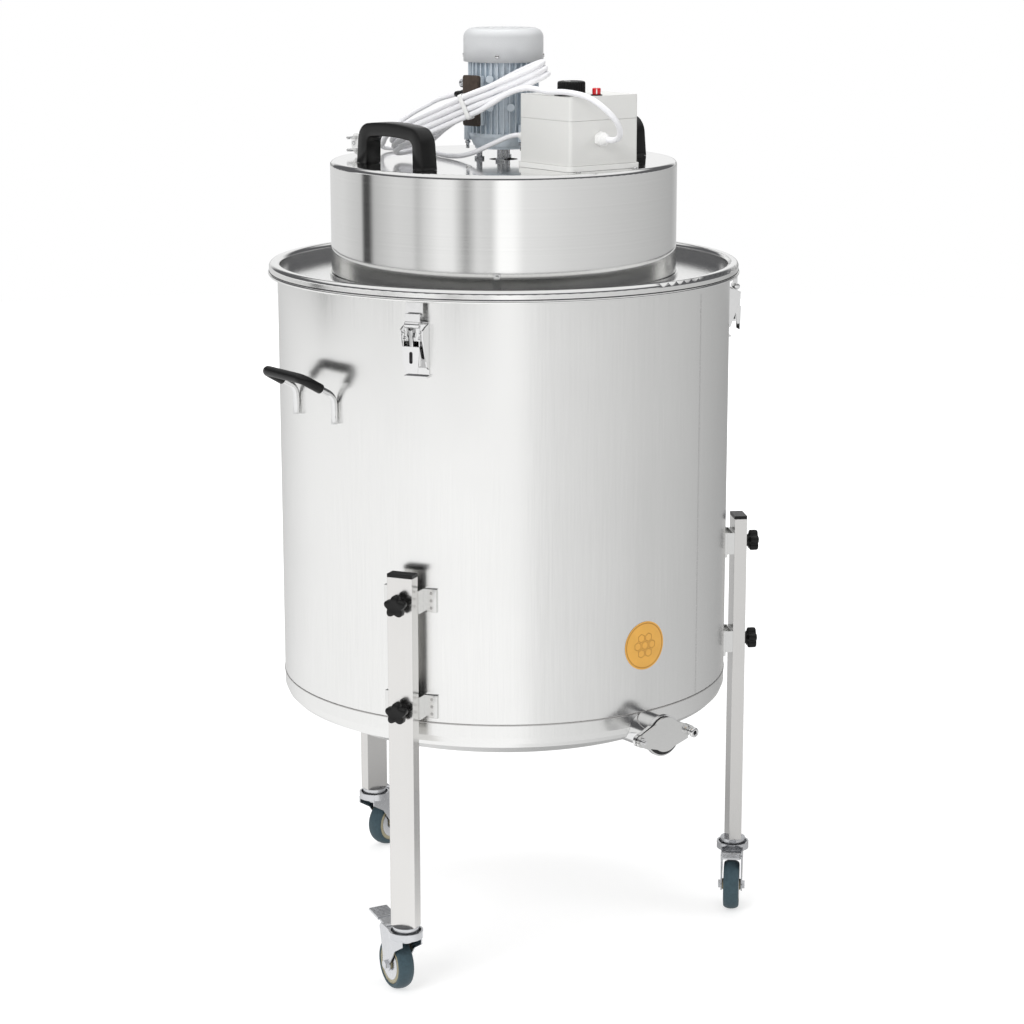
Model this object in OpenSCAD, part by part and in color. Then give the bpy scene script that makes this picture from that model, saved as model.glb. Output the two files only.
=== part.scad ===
// Honey wax separator: a motor-driven drum in a tank on three castored legs.
// The frame has +Z up, the floor at Z = 0 and the drain gate facing -Y.
// Angles round the tank are measured from -Y towards +X.

/* [Tank] */
// Outside diameter of the tank wall
tank_d = 700; // [660:5:740]
// Thickness of the tank, pan and hood sheet
sheet_t = 1.5; // [1:0.25:2]
// Height of the seam between tank wall and bottom pan above the floor
seam_z = 424; // [400:2:450]
// Height of the tank from that seam to the top of the cover ring
tank_h = 647; // [600:5:700]
// Depth of the bottom pan below the seam
pan_h = 61; // [50:1:70]
// Radius of the lowest ring of the bottom pan
pan_low_r = 288; // [270:2:300]
// Rise of the pan's floor from its lowest ring to its middle
pan_rise = 28; // [15:1:40]

/* [Cover ring] */
// Distance that the cover ring stands out from the tank wall
ring_over = 13; // [11:0.5:20]
// Width of the ring's rounded lip
lip_w = 17.5; // [16:0.5:22]
// Depth of the ring's floor below the lip
ring_drop = 20; // [15:1:26]
// Height of the skirt outside the tank
skirt_h = 19; // [16:1:24]

/* [Hood] */
// Outside diameter of the hood
hood_d = 533; // [500:1:560]
// Height of the hood
hood_h = 173.7; // [150:0.1:200]
// Radius of the hood's top edge
hood_edge = 7; // [4:0.5:12]
// Distance of each hood handle from the middle
grip_x = 200; // [180:2:210]
// Length of a hood handle
grip_l = 173; // [150:1:180]
// Height of a hood handle
grip_h = 65; // [55:1:75]
// Width of a hood handle
grip_w = 28; // [22:1:34]

/* [Motor] */
// Diameter of the motor's fan cowl
cowl_d = 122; // [118:1:126]
// Height of the fan cowl
cowl_h = 50; // [40:1:60]
// Diameter over the cooling fins
fin_d = 108; // [100:1:112]
// Height of the finned body
fin_h = 113; // [90:1:120]
// Number of cooling fins
fin_count = 36; // [24:1:44]
// Height of the end shield under the fins
shield_h = 18; // [14:1:24]
// Height of the pillars under the motor
pillar_h = 18; // [14:1:24]
// Diameter of the circle that the pillars stand on
pillar_pcd = 75; // [70:1:80]

/* [Control box] */
// Width of the control box along X
box_w = 128; // [120:1:134]
// Depth of the control box along Y
box_d = 122; // [110:1:130]
// Height of the control box
box_h = 100; // [90:1:110]
// Height of its lid
box_lid_h = 35; // [25:1:45]
// Distance of its back face from the motor's axis
box_back = 113; // [105:1:120]
// Distance of its left face from the motor's axis
box_left = 55; // [50:1:60]
// Height of the tray under the box
tray_h = 8; // [6:0.5:12]
// Diameter of the speed dial
dial_d = 43; // [36:1:46]
// Height of the speed dial
dial_h = 21; // [16:1:26]
// Diameter of the red button
button_d = 13; // [10:0.5:16]

/* [Legs and castors] */
// Width of a leg tube along the wall
leg_w = 40; // [36:1:44]
// Depth of a leg tube outwards from the wall
leg_t = 20; // [18:1:24]
// Gap between the tank wall and a leg
leg_gap = 18; // [15:0.5:22]
// Length of a leg tube
leg_l = 539; // [500:1:560]
// Height of a castor under its leg
castor_h = 111; // [109:0.5:114]
// Diameter of a castor wheel
wheel_d = 80; // [74:1:82]
// Width of a castor's tread
wheel_w = 25; // [22:1:27]
// Offset of the wheel's axle from the swivel
trail = 33; // [30:1:36]
// Distance from a leg's top down to the upper bracket's middle
bracket_down = 39.3; // [34:0.1:60]
// Distance down to the lower leg bracket
bracket_step = 162; // [150:1:170]
// Height of a leg bracket
bracket_h = 35; // [30:1:40]
// Diameter over the lobes of a star knob
star_d = 34; // [30:1:38]

/* [Tank handles and latches] */
// Length of a tank handle between its rods
handle_l = 104; // [95:1:115]
// Distance of a tank handle's grip from the wall
handle_out = 55; // [48:1:60]
// Height of a tank handle's grip above the floor
handle_z = 931; // [900:1:950]
// Diameter of the handle rod
rod_d = 10; // [8:0.5:12]
// Diameter of the rubber sleeve on the rod
sleeve_d = 15; // [14:0.5:17]
// Turn of the latches from the legs round the tank
latch_turn = 2.5; // [0:0.5:6]
// Width of a latch base
latch_w = 36; // [34:1:40]

/* [Drain gate] */
// Height of the drain gate's middle above the floor
gate_z = 398; // [396:0.5:400]
// Diameter of the drain bore
gate_bore = 47; // [44:1:48]
// Distance of the gate's seat plate from the tank wall
gate_out = 46; // [40:1:52]
// Distance of the gate's pivot and clamp from its middle
gate_arm = 46; // [44:1:50]

/* [Drum] */
// Diameter of the perforated drum
drum_d = 600; // [560:5:620]
// Height of the perforated drum
drum_h = 460; // [400:5:480]
// Height of the drum's floor above the tank seam
drum_lift = 76; // [70:1:90]
// Diameter of the drum's shaft
shaft_d = 25; // [20:1:28]

/* [Cords] */
// Diameter of the mains cord
cord_d = 8.5; // [8:0.1:8.8]
// Diameter of the motor lead
lead_d = 7.5; // [7:0.1:8]

/* [Hidden] */
$fn = 48;

// Clearance between neighbours that don't move
seat = 0.3;
// Hairline between sheets that are welded together on the product
weld_gap = 0.04;
// Radial clearance of a running fit
run = 0.05;
// Overlap that makes a cut go right through
eps = 1;

steel = "lightsteelblue";
bright = "gainsboro";
black = "#222222";
zinc = "#c8ccd0";
abs_grey = "#dcdcda";
cord_white = "#f2f2f4";

LEFT = -60;
RIGHT = 60;
REAR = 180;
leg_angles = [LEFT, RIGHT, REAR];
// Way that each castor's wheel trails from its swivel
castor_turns = [171.5, -43.5, 103];

tank_r = tank_d / 2;
ring_r = tank_r + ring_over;
gate_y = tank_r + gate_out;
hood_r = hood_d / 2;
rim_z = seam_z + tank_h;
ring_floor_z = rim_z - ring_drop;
lip_in_r = ring_r - lip_w;
hood_z0 = ring_floor_z + seat;
hood_top = hood_z0 + hood_h;
pan_z = seam_z - pan_h;

module round_of_tank(a) { rotate([0, 0, a]) children(); }
module at_wall(a, r) { rotate([0, 0, a]) translate([0, -r, 0]) children(); }
module along_y(y0, y1) { translate([0, y1, 0]) rotate([90, 0, 0]) linear_extrude(y1 - y0) children(); }

// A straight rod from p to q
module rod(p, q, r) {
    v = q - p;
    l = norm(v);
    translate(p) rotate([0, acos(v[2] / l), atan2(v[1], v[0])]) cylinder(h = l, r = r);
}

// A rod that runs through a list of points with round corners
module rod_chain(pts, r) {
    for (i = [0 : len(pts) - 2]) rod(pts[i], pts[i + 1], r);
    for (i = [1 : len(pts) - 2]) translate(pts[i]) sphere(r = r * 1.02);
}

module rounded_square(w, d, r) {
    translate([r, 0]) square([w - 2 * r, d]);
    translate([0, r]) square([w, d - 2 * r]);
    for (x = [r, w - r], y = [r, d - r]) translate([x, y]) circle(r = r);
}

// Tank wall with its rolled top edge under the lip
bead_r = 3;
bead_at = tank_r + bead_r + 0.2;

module tank_wall() {
    color(steel) rotate_extrude($fn = 180) {
        translate([tank_r - sheet_t, seam_z]) square([sheet_t, tank_h - sheet_t - seat - bead_r]);
        translate([bead_at, rim_z - sheet_t - seat - bead_r]) circle(r = bead_r);
        translate([tank_r - sheet_t, rim_z - sheet_t - seat - bead_r - 1]) square([bead_r, 2]);
    }
}

// Bottom pan: a knuckle, a slope in to the lowest ring and a floor that rises to the middle
knuckle_z = seam_z - 20;
function pan_line(t) = [
    [tank_r - t, seam_z],
    [tank_r - t, knuckle_z],
    [tank_r - 4 - t, knuckle_z - 10 + t / 2],
    [tank_r - 12 - t / 2, knuckle_z - 18 + t],
    [pan_low_r + 8, pan_z + 4 + t],
    [pan_low_r, pan_z + t],
    [pan_low_r - 12, pan_z + t],
    [20, pan_z + pan_rise + t],
    [0, pan_z + pan_rise + t]
];

module pan_shape(t) {
    rotate_extrude($fn = 180) polygon(concat([[0, seam_z]], pan_line(t)));
}

module bottom_pan() {
    color(steel) difference() {
        pan_shape(0);
        pan_shape(sheet_t);
        translate([0, -tank_r / 2, gate_z]) rotate([90, 0, 0]) cylinder(h = tank_r, r = gate_bore / 2);
    }
}

// Cover ring: a skirt with a rolled edge, a rounded lip and a sunk floor with a collar
lip_round = 6.5;
edge_bead = 2.5;
collar_h = 4;
ring_bore_r = hood_r - 16;

module lip_section(off) {
    r0 = lip_in_r + off;
    r1 = ring_r - off;
    z1 = rim_z - off;
    rr = lip_round - off;
    translate([r0, rim_z - skirt_h - 2]) square([r1 - r0, z1 - rr - (rim_z - skirt_h - 2)]);
    translate([r0 + rr, rim_z - skirt_h]) square([r1 - r0 - 2 * rr, z1 - (rim_z - skirt_h)]);
    translate([r0 + rr, z1 - rr]) circle(r = rr);
    translate([r1 - rr, z1 - rr]) circle(r = rr);
}

module cover_ring() {
    color(bright) rotate_extrude($fn = 180) {
        difference() {
            lip_section(0);
            lip_section(sheet_t);
            translate([lip_in_r - 1, 0]) square([lip_w + 2, ring_floor_z - sheet_t]);
            translate([lip_in_r + sheet_t, 0]) square([lip_w, rim_z - skirt_h]);
        }
        translate([ring_r - 1, rim_z - skirt_h + edge_bead]) circle(r = edge_bead);
        translate([ring_bore_r, ring_floor_z - sheet_t]) square([lip_in_r + 1 - ring_bore_r, sheet_t]);
        translate([hood_r + 1.5, ring_floor_z - sheet_t]) square([sheet_t, collar_h + sheet_t]);
    }
}

// Legs: rectangular tubes held in brackets by star knobs
leg_in_r = tank_r + leg_gap;
leg_mid_r = leg_in_r + leg_t / 2;
leg_out_r = leg_in_r + leg_t;
leg_z0 = castor_h + seat;
leg_z1 = leg_z0 + leg_l;
leg_wall = 1.5;
stud_r = 4;
bracket_z = leg_z1 - bracket_down;
bracket_zs = [bracket_z, bracket_z - bracket_step];

module leg() {
    difference() {
        translate([-leg_w / 2, -leg_t / 2, leg_z0]) cube([leg_w, leg_t, leg_l]);
        translate([-leg_w / 2 + leg_wall, -leg_t / 2 + leg_wall, leg_z0 + 4])
            cube([leg_w - 2 * leg_wall, leg_t - 2 * leg_wall, leg_l]);
        for (z = bracket_zs) translate([0, leg_t, z]) rotate([90, 0, 0])
            cylinder(h = 2 * leg_t, r = stud_r + run);
        translate([0, 0, leg_z0 - eps]) cylinder(h = 6, r = stem_r + 0.2);
    }
}

module legs() {
    color(bright) for (a = leg_angles) at_wall(a, leg_mid_r) leg();
}

cap_h = 5;
module leg_caps() {
    color(black) for (a = leg_angles) at_wall(a, leg_mid_r) {
        translate([-leg_w / 2, -leg_t / 2, leg_z1 + 0.1]) cube([leg_w, leg_t, cap_h]);
        translate([-leg_w / 2 + leg_wall + 0.3, -leg_t / 2 + leg_wall + 0.3, leg_z1 - 12])
            cube([leg_w - 2 * leg_wall - 0.6, leg_t - 2 * leg_wall - 0.6, 12.1]);
    }
}

// Leg bracket: two cheeks beside the leg, a web behind it with a nut, and two wall flanges
cheek_t = 1.6;
flange_t = 2;
nut_r = 8;
web_t = 2.5;
nut_h = 6;
flange_w = 22;
cheek_x = leg_w / 2 + seat;

module leg_bracket() {
    difference() {
        union() {
            for (s = [-1, 1]) {
                translate([s * (cheek_x + cheek_t / 2) - cheek_t / 2, -leg_in_r + seat, -bracket_h / 2])
                    cube([cheek_t, leg_in_r - tank_r + 5, bracket_h]);
                translate([s * (cheek_x + flange_w / 2) - flange_w / 2, -tank_r - flange_t, -bracket_h / 2])
                    cube([flange_w, flange_t + 10, bracket_h]);
            }
            translate([-cheek_x - 0.5, -leg_in_r + seat, -bracket_h / 2])
                cube([2 * cheek_x + 1, web_t, bracket_h]);
            translate([0, -leg_in_r + seat + web_t + nut_h, 0]) rotate([90, 0, 0])
                cylinder(h = nut_h + 1, r = nut_r, $fn = 6);
        }
        translate([0, 0, -bracket_h]) cylinder(h = 2 * bracket_h, r = tank_r + 0.2, $fn = 180);
        translate([0, -tank_r, 0]) rotate([90, 0, 0]) cylinder(h = leg_out_r - tank_r + 2, r = stud_r + run);
    }
}

module leg_brackets() {
    color(steel) for (a = leg_angles, z = bracket_zs) round_of_tank(a) translate([0, 0, z]) leg_bracket();
}

// Star knob: five lobes, a neck and a stud that runs through the leg into the bracket's nut
neck_h = 6;
star_h = 15;
lobe_r = star_d * 0.16;

module star_knob(a, z) {
    color(black) at_wall(a, leg_out_r + seat) translate([0, 0, z]) rotate([90, 0, 0]) {
        cylinder(h = neck_h, r = star_d * 0.27);
        translate([0, 0, neck_h]) linear_extrude(star_h) {
            circle(r = star_d * 0.34);
            for (i = [0 : 4]) rotate([0, 0, 18 + 72 * i]) translate([star_d / 2 - lobe_r, 0])
                circle(r = lobe_r);
        }
        translate([0, 0, -leg_t - web_t - nut_h + 1]) cylinder(h = leg_t + web_t + nut_h + neck_h, r = stud_r);
    }
}

// Castor: a fixed stem, a swivelling fork, a wheel and a brake pedal
stem_r = 6;
race_r = 26;
race_z = castor_h - 19;
fork_gap = wheel_w / 2 + 3;
fork_t = 2;
axle_r = 4;
axle_z = wheel_d / 2;
pedal_y = trail + 15;
pedal_z = castor_h - 17;
pin_r = 2.5;

module at_castor(i) { at_wall(leg_angles[i], leg_mid_r) rotate([0, 0, castor_turns[i] - leg_angles[i]])
    children(); }

module castor_stem() {
    cylinder(h = castor_h + 4.9 - race_z + 4, r = stem_r);
    translate([0, 0, castor_h - race_z - 3]) cylinder(h = 7, r = race_r - 6);
    translate([0, 0, -3]) cylinder(h = 6.5, r = stem_r + 4);
}

module castor_stems() {
    color(zinc) for (i = [0 : 2]) at_castor(i) translate([0, 0, race_z - 4]) castor_stem();
}

module fork_cheek() {
    rotate([90, 0, 90]) linear_extrude(fork_t, center = true) {
        translate([-trail, axle_z]) circle(r = 11);
        translate([-pedal_y, pedal_z]) circle(r = 7);
        polygon([[-trail - 10, axle_z + 4], [-pedal_y - 6, pedal_z - 3], [-pedal_y + 4, pedal_z + 7],
            [20, race_z + 3], [20, race_z - 8], [-4, race_z - 22], [-trail + 10, axle_z + 5]]);
    }
}

module castor_fork(i) {
    color(zinc) at_castor(i) {
        difference() {
            union() {
                translate([0, 0, race_z]) cylinder(h = 3, r = race_r - 3);
                translate([0, 0, race_z + 1]) difference() {
                    cylinder(h = 11, r = race_r);
                    translate([0, 0, 2]) cylinder(h = 11, r = race_r - 3);
                }
                for (s = [-1, 1]) translate([s * (fork_gap + fork_t / 2), 0, 0]) fork_cheek();
                translate([-fork_gap - 0.5, -pedal_y + 12, race_z]) cube([2 * fork_gap + 1, pedal_y - 14, 3]);
            }
            translate([0, 0, race_z - 2]) cylinder(h = 10, r = stem_r + run);
        }
        translate([-fork_gap - fork_t - 4, -trail, axle_z]) rotate([0, 90, 0])
            cylinder(h = 2 * (fork_gap + fork_t + 4), r = axle_r);
        for (s = [0, 1]) mirror([s, 0, 0]) translate([fork_gap + fork_t, -trail, axle_z]) rotate([0, 90, 0])
            cylinder(h = 4, r = 7, $fn = 6);
        translate([-fork_gap - 1, -pedal_y, pedal_z]) rotate([0, 90, 0])
            cylinder(h = 2 * fork_gap + 2, r = pin_r);
    }
}

core_r = wheel_d / 2 - 9;
module castor_wheel(i) {
    at_castor(i) translate([0, -trail, axle_z]) rotate([0, 90, 0]) {
        color("#4d6670") rotate_extrude($fn = 72) {
            translate([core_r, -wheel_w / 2 + 3]) square([wheel_d / 2 - core_r, wheel_w - 6]);
            translate([core_r, -wheel_w / 2]) square([wheel_d / 2 - core_r - 5, wheel_w]);
            for (s = [-1, 1]) translate([wheel_d / 2 - 5, s * (wheel_w / 2 - 5)]) circle(r = 5);
        }
        color("#cdbf95") difference() {
            union() {
                translate([0, 0, -wheel_w / 2 + 1]) cylinder(h = wheel_w - 2, r = core_r);
                translate([0, 0, -fork_gap + seat]) cylinder(h = 2 * (fork_gap - seat), r = 9);
            }
            translate([0, 0, -fork_gap - 1]) cylinder(h = 2 * fork_gap + 2, r = axle_r + run);
        }
    }
}

pedal_w = 30;
pad_y = trail + 64;
module brake_pedal(i) {
    color("#8c8c88") at_castor(i) difference() {
        union() {
            translate([-fork_gap + seat, -pedal_y, pedal_z]) rotate([0, 90, 0])
                cylinder(h = 2 * (fork_gap - seat), r = 5);
            translate([-fork_gap + 3, 0, 0]) rotate([90, 0, 90]) linear_extrude(2 * fork_gap - 6)
                polygon([[-pedal_y, pedal_z - 3], [-pedal_y, pedal_z + 4], [-pad_y + 30, pedal_z + 9],
                    [-pad_y + 30, pedal_z + 6]]);
            translate([-pedal_w / 2, 0, 0]) rotate([90, 0, 90]) linear_extrude(pedal_w)
                polygon([[-pad_y + 32, pedal_z + 6], [-pad_y + 32, pedal_z + 10], [-pad_y, pedal_z + 14],
                    [-pad_y, pedal_z + 11]]);
        }
        translate([-fork_gap - 2, -pedal_y, pedal_z]) rotate([0, 90, 0])
            cylinder(h = 2 * fork_gap + 4, r = pin_r + run);
    }
}

// Tank handles: a bent rod welded to the wall with a rubber sleeve over its grip
rod_r = rod_d / 2;
half_l = handle_l / 2;
rod_y = -sqrt(pow(tank_r + rod_r + 0.2, 2) - pow(half_l, 2));
grip_y = -(tank_r + handle_out);
rod_bend_z = handle_z - 31;
function handle_side(s) = [[s * half_l, rod_y, rod_bend_z - 41], [s * half_l, rod_y, rod_bend_z],
    [s * half_l, grip_y, handle_z]];
handle_path = concat(handle_side(-1), [for (i = [2 : -1 : 0]) handle_side(1)[i]]);
sleeve_share = 0.42;
function sleeve_start(s) = handle_side(s)[1] + (handle_side(s)[2] - handle_side(s)[1]) * sleeve_share;
sleeve_path = [sleeve_start(-1), handle_side(-1)[2], handle_side(1)[2], sleeve_start(1)];

module handle_bars() {
    color(bright) for (a = [-90, 90]) round_of_tank(a) rod_chain(handle_path, rod_r);
}

module handle_grips() {
    color(black) for (a = [-90, 90]) round_of_tank(a) difference() {
        rod_chain(sleeve_path, sleeve_d / 2);
        rod_chain(handle_path, rod_r + 0.1);
    }
}

// Toggle latches: a base on the wall, a lever on the base, a hook on the lever and a catch under the ring
latch_angles = [for (a = leg_angles) a + latch_turn];
catch_z = rim_z - skirt_h - 0.1;
ledge_z = catch_z - 18;
pivot_z = catch_z - 44;
pivot_r = tank_r + 19.5;
hook_drop = 8;
lever_l = 46;
ear_x = latch_w / 2 - 2.2;
lever_x = ear_x - 2.6;
hook_x = lever_x - 0.8;
rivet_r = 2;

base_down = 63;
base_up = 16;
foot_t = 3;
module latch_bases() {
    color(bright) for (a = latch_angles) round_of_tank(a) translate([0, 0, pivot_z]) {
        difference() {
            union() {
                translate([-latch_w / 2, -tank_r - 2, -base_down]) cube([latch_w, 10, base_down + base_up]);
                for (s = [-1, 1]) translate([s * (ear_x + 1) - 1, 0, 0]) rotate([90, 0, 90]) linear_extrude(2)
                    polygon([[-tank_r + 5, 5 - base_down], [-tank_r - 9, 13 - base_down], [-pivot_r - 5, -6],
                        [-pivot_r - 5, 5], [-pivot_r + 4, 9], [-tank_r + 5, base_up - 2]]);
                translate([-latch_w / 2, -tank_r - 10, -base_down - foot_t]) cube([latch_w, 14, foot_t]);
            }
            translate([0, 0, -base_down - 20])
                cylinder(h = base_down + base_up + 40, r = tank_r + 0.2, $fn = 180);
        }
        for (s = [0, 1]) mirror([s, 0, 0]) translate([lever_x - 1.5, -pivot_r, 0]) rotate([0, 90, 0])
            cylinder(h = ear_x + 2 - lever_x, r = rivet_r);
    }
}

module latch_catches() {
    color(bright) for (a = latch_angles) round_of_tank(a) {
        translate([-13, -ring_r, ledge_z - 2]) cube([26, 2, catch_z - ledge_z + 2]);
        translate([-10, -ring_r - 4.5, ledge_z - 2]) cube([20, 5, 2]);
    }
}

module latch_lever(a) {
    color(bright) round_of_tank(a) translate([0, -pivot_r, pivot_z]) {
        difference() {
            union() {
                for (s = [-1, 1]) translate([s * (lever_x - 0.75) - 0.75, 0, 0]) rotate([90, 0, 90])
                    linear_extrude(1.5) {
                    circle(r = 4.6);
                    translate([0, -hook_drop]) circle(r = 4.6);
                    polygon([[4.6, 0], [-5.5, -8], [-5.5, -lever_l], [-1, -lever_l], [4.6, -hook_drop]]);
                }
                translate([0, -5.5, 0]) rotate([90, 0, 0]) linear_extrude(1.5)
                    polygon([[-lever_x, -18], [lever_x, -18],
                        [lever_x - 3, -lever_l - 10], [3 - lever_x, -lever_l - 10]]);
            }
            for (z = [-28, -40]) translate([0, 0, z]) rotate([90, 0, 0]) cylinder(h = 20, r = 2.6);
            translate([-2.6, -20, -40]) cube([5.2, 20, 12]);
            translate([-latch_w, 0, 0]) rotate([0, 90, 0]) cylinder(h = 2 * latch_w, r = rivet_r + run);
        }
        for (s = [0, 1]) mirror([s, 0, 0]) translate([hook_x - 3, 0, -hook_drop]) rotate([0, 90, 0])
            cylinder(h = 3 + lever_x - hook_x - 0.7, r = rivet_r);
    }
}

hook_top = ledge_z + seat + 0.1 + 2 - pivot_z;
module latch_hook(a) {
    color(bright) round_of_tank(a) translate([0, -pivot_r, pivot_z]) difference() {
        union() {
            for (s = [-1, 1]) translate([s * (hook_x - 2) - 1, -1, -hook_drop]) cube([2, 2, hook_drop + 14]);
            for (s = [-1, 1]) translate([s * (hook_x - 2) - 1, 0, -hook_drop]) rotate([0, 90, 0])
                cylinder(h = 2, r = 3.6);
            translate([-hook_x + 1, -1, 8]) cube([2 * hook_x - 2, 2, hook_top - 8]);
            translate([-9, -1, hook_top - 2]) cube([18, pivot_r - ring_r, 2]);
            translate([-hook_x + 1, -0.5, 10]) rotate([0, 90, 0]) cylinder(h = 2 * hook_x - 2, r = 2.4);
        }
        translate([-latch_w, 0, -hook_drop]) rotate([0, 90, 0]) cylinder(h = 2 * latch_w, r = rivet_r + run);
    }
}

// Drain gate: a stub with a seat plate, a gasket and a plate that swings up on its pivot
seat_t = 6;
stub_r = gate_bore / 2 + 3.5;
seat_r = gate_bore / 2 + 8;
gate_ear = 9;
gasket_t = 1.8;
gate_t = 4;
gate_pin = 3;
plate_y = gate_y + gasket_t + seat;
knob_h = 12;
screw_out = gasket_t + gate_t + 2 * seat + knob_h - 3.5;

module gate_outline(r, ends) {
    circle(r = r);
    for (x = ends) {
        translate([x, 0]) circle(r = gate_ear);
        polygon([[0, r * 0.97], [x, gate_ear], [x, -gate_ear], [0, -r * 0.97]]);
    }
}

module gate_body() {
    color(bright) translate([0, 0, gate_z]) {
        difference() {
            union() {
                along_y(-gate_y, -gate_y + seat_t) gate_outline(seat_r, [-gate_arm, gate_arm]);
                along_y(-gate_y + 1, -tank_r + 40) circle(r = stub_r);
            }
            translate([0, 0, -gate_z]) pan_shape(-0.2);
            translate([0, 0, seam_z - gate_z - eps]) cylinder(h = 60, r = tank_r + 0.2, $fn = 180);
            along_y(-gate_y - eps, 0) circle(r = gate_bore / 2);
        }
        for (s = [-1, 1]) translate([s * gate_arm, 1 - gate_y, 0]) rotate([90, 0, 0])
            cylinder(h = 1 + screw_out, r = gate_pin);
        translate([-gate_arm, -plate_y - gate_t - seat, 0]) rotate([90, 0, 0])
            cylinder(h = 3.5, r = gate_pin + 3);
    }
}

module gate_gasket() {
    color(black) translate([0, 0, gate_z]) along_y(-gate_y - gasket_t, -gate_y) difference() {
        circle(r = seat_r - 2.5);
        circle(r = gate_bore / 2);
    }
}

module gate_plate() {
    color(steel) translate([0, 0, gate_z]) along_y(-plate_y - gate_t, -plate_y) difference() {
        gate_outline(seat_r - 1.5, [-gate_arm, gate_arm]);
        translate([-gate_arm, 0]) circle(r = gate_pin + run);
        translate([gate_arm, 0]) circle(r = gate_pin + 0.8);
        translate([gate_arm - gate_pin - 0.8, -20]) square([2 * gate_pin + 1.6, 20]);
    }
}

module gate_knob() {
    color(bright) translate([gate_arm, -plate_y - gate_t - seat, gate_z]) rotate([90, 0, 0]) difference() {
        union() {
            cylinder(h = 4, r = 5);
            translate([0, 0, 3]) cylinder(h = knob_h - 3, r = 7.5);
        }
        translate([0, 0, -1]) cylinder(h = knob_h - 2, r = gate_pin + run);
    }
}

// Spider and lower bearing that carry the drum's shaft
spider_z = seam_z + 22;
arm_h = 20;
hub_r = 40;
module bearing_spider() {
    color(steel) {
        difference() {
            union() {
                translate([0, 0, spider_z]) cylinder(h = arm_h, r = hub_r);
                for (a = [0, 120, 240]) rotate([0, 0, a + 30]) translate([0, -12, spider_z])
                    cube([tank_r + 5, 24, arm_h]);
            }
            translate([0, 0, spider_z - eps]) difference() {
                cylinder(h = 40, r = tank_r + 20);
                translate([0, 0, -eps]) cylinder(h = 50, r = tank_r - sheet_t - seat, $fn = 180);
            }
            translate([0, 0, spider_z + 4]) cylinder(h = 30, r = bearing_r + 0.1);
        }
    }
}

bearing_r = shaft_d / 2 + 12;
module lower_bearing() {
    color(zinc) translate([0, 0, spider_z + 4.1]) difference() {
        cylinder(h = 15.5, r = bearing_r);
        translate([0, 0, 2]) cylinder(h = 30, r = shaft_d / 2 + run);
    }
}

// Drum: a wall of bent panels with punched windows, a rim in sectors, a floor, a hub and a shaft with a
// cross pin for the coupling
drum_r = drum_d / 2;
drum_t = 2;
drum_z = seam_z + drum_lift;
drum_hub_r = shaft_d / 2 + 10;
drum_hub_h = 40;
drum_rim_r = ring_bore_r - 4;
panels = 16;
panel_turn = 5;
slot_rows = 4;
slot_z0 = 26;
slot_pitch = (drum_h - 40) / slot_rows;
slot_bridge = 12;
window_w = 36;
coupling_z = hood_top - 74;
module panel_wedge() {
    half = 180 / panels;
    far = 2 * drum_r;
    translate([weld_gap / 2 / sin(half), 0, drum_z - 1]) linear_extrude(drum_h + 2)
        polygon([[0, 0], [far * cos(half), -far * sin(half)], [far * cos(half), far * sin(half)]]);
}

module drum_panel() {
    difference() {
        intersection() {
            translate([0, 0, drum_z]) difference() {
                cylinder(h = drum_h - drum_t - weld_gap, r = drum_r, $fn = 128);
                translate([0, 0, -1]) cylinder(h = drum_h, r = drum_r - drum_t, $fn = 128);
            }
            panel_wedge();
        }
        for (j = [0 : slot_rows - 1])
            translate([drum_r - 10, -window_w / 2, drum_z + slot_z0 + j * slot_pitch])
                cube([20, window_w, slot_pitch - slot_bridge]);
    }
}

module drum_rim() {
    intersection() {
        translate([0, 0, drum_z + drum_h - drum_t]) difference() {
            cylinder(h = drum_t, r = drum_r, $fn = 128);
            translate([0, 0, -1]) cylinder(h = drum_t + 2, r = drum_rim_r, $fn = 128);
        }
        panel_wedge();
    }
}

module drum() {
    color(steel) {
        for (k = [0 : panels - 1]) rotate([0, 0, k * 360 / panels + panel_turn]) {
            drum_panel();
            drum_rim();
        }
        translate([0, 0, drum_z]) difference() {
            cylinder(h = drum_t, r = drum_r - drum_t - weld_gap, $fn = 128);
            translate([0, 0, -1]) cylinder(h = drum_t + 2, r = shaft_d / 2);
        }
        translate([0, 0, drum_z + drum_t + weld_gap]) difference() {
            cylinder(h = drum_hub_h - drum_t - weld_gap, r = drum_hub_r);
            translate([0, 0, -1]) cylinder(h = drum_hub_h + 2, r = shaft_d / 2);
        }
    }
}

module drum_shaft() {
    color(bright) difference() {
        union() {
            translate([0, 0, spider_z + 6.4]) cylinder(h = coupling_z + 12 - spider_z - 6.4, r = shaft_d / 2);
            translate([-17, 0, coupling_z]) rotate([0, 90, 0]) cylinder(h = 34, r = 4);
        }
        translate([0, 0, coupling_z + 8]) cylinder(h = 10, r = 3);
    }
}

// Hood with a hole for the motor's shaft and three clips at its foot
hood_hole_r = 22;
clip_angles = [-39, 81, 201];
module hood_crown(off) {
    r = hood_r - off;
    e = hood_edge - off;
    translate([0, hood_top - hood_edge]) square([r - e, e]);
    translate([r - e, hood_top - hood_edge]) circle(r = e);
}

module hood() {
    color(bright) {
        // The crown: a flat top with a rounded edge
        rotate_extrude($fn = 180) difference() {
            hood_crown(0);
            hood_crown(sheet_t);
            translate([0, hood_top - 3 * hood_edge]) square([hood_r + eps, 2 * hood_edge]);
            translate([0, hood_z0]) square([hood_hole_r, hood_h + eps]);
        }
        // The wall under it
        rotate_extrude($fn = 180) translate([hood_r - sheet_t, hood_z0])
            square([sheet_t, hood_h - hood_edge - weld_gap]);
    }
}

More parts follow.
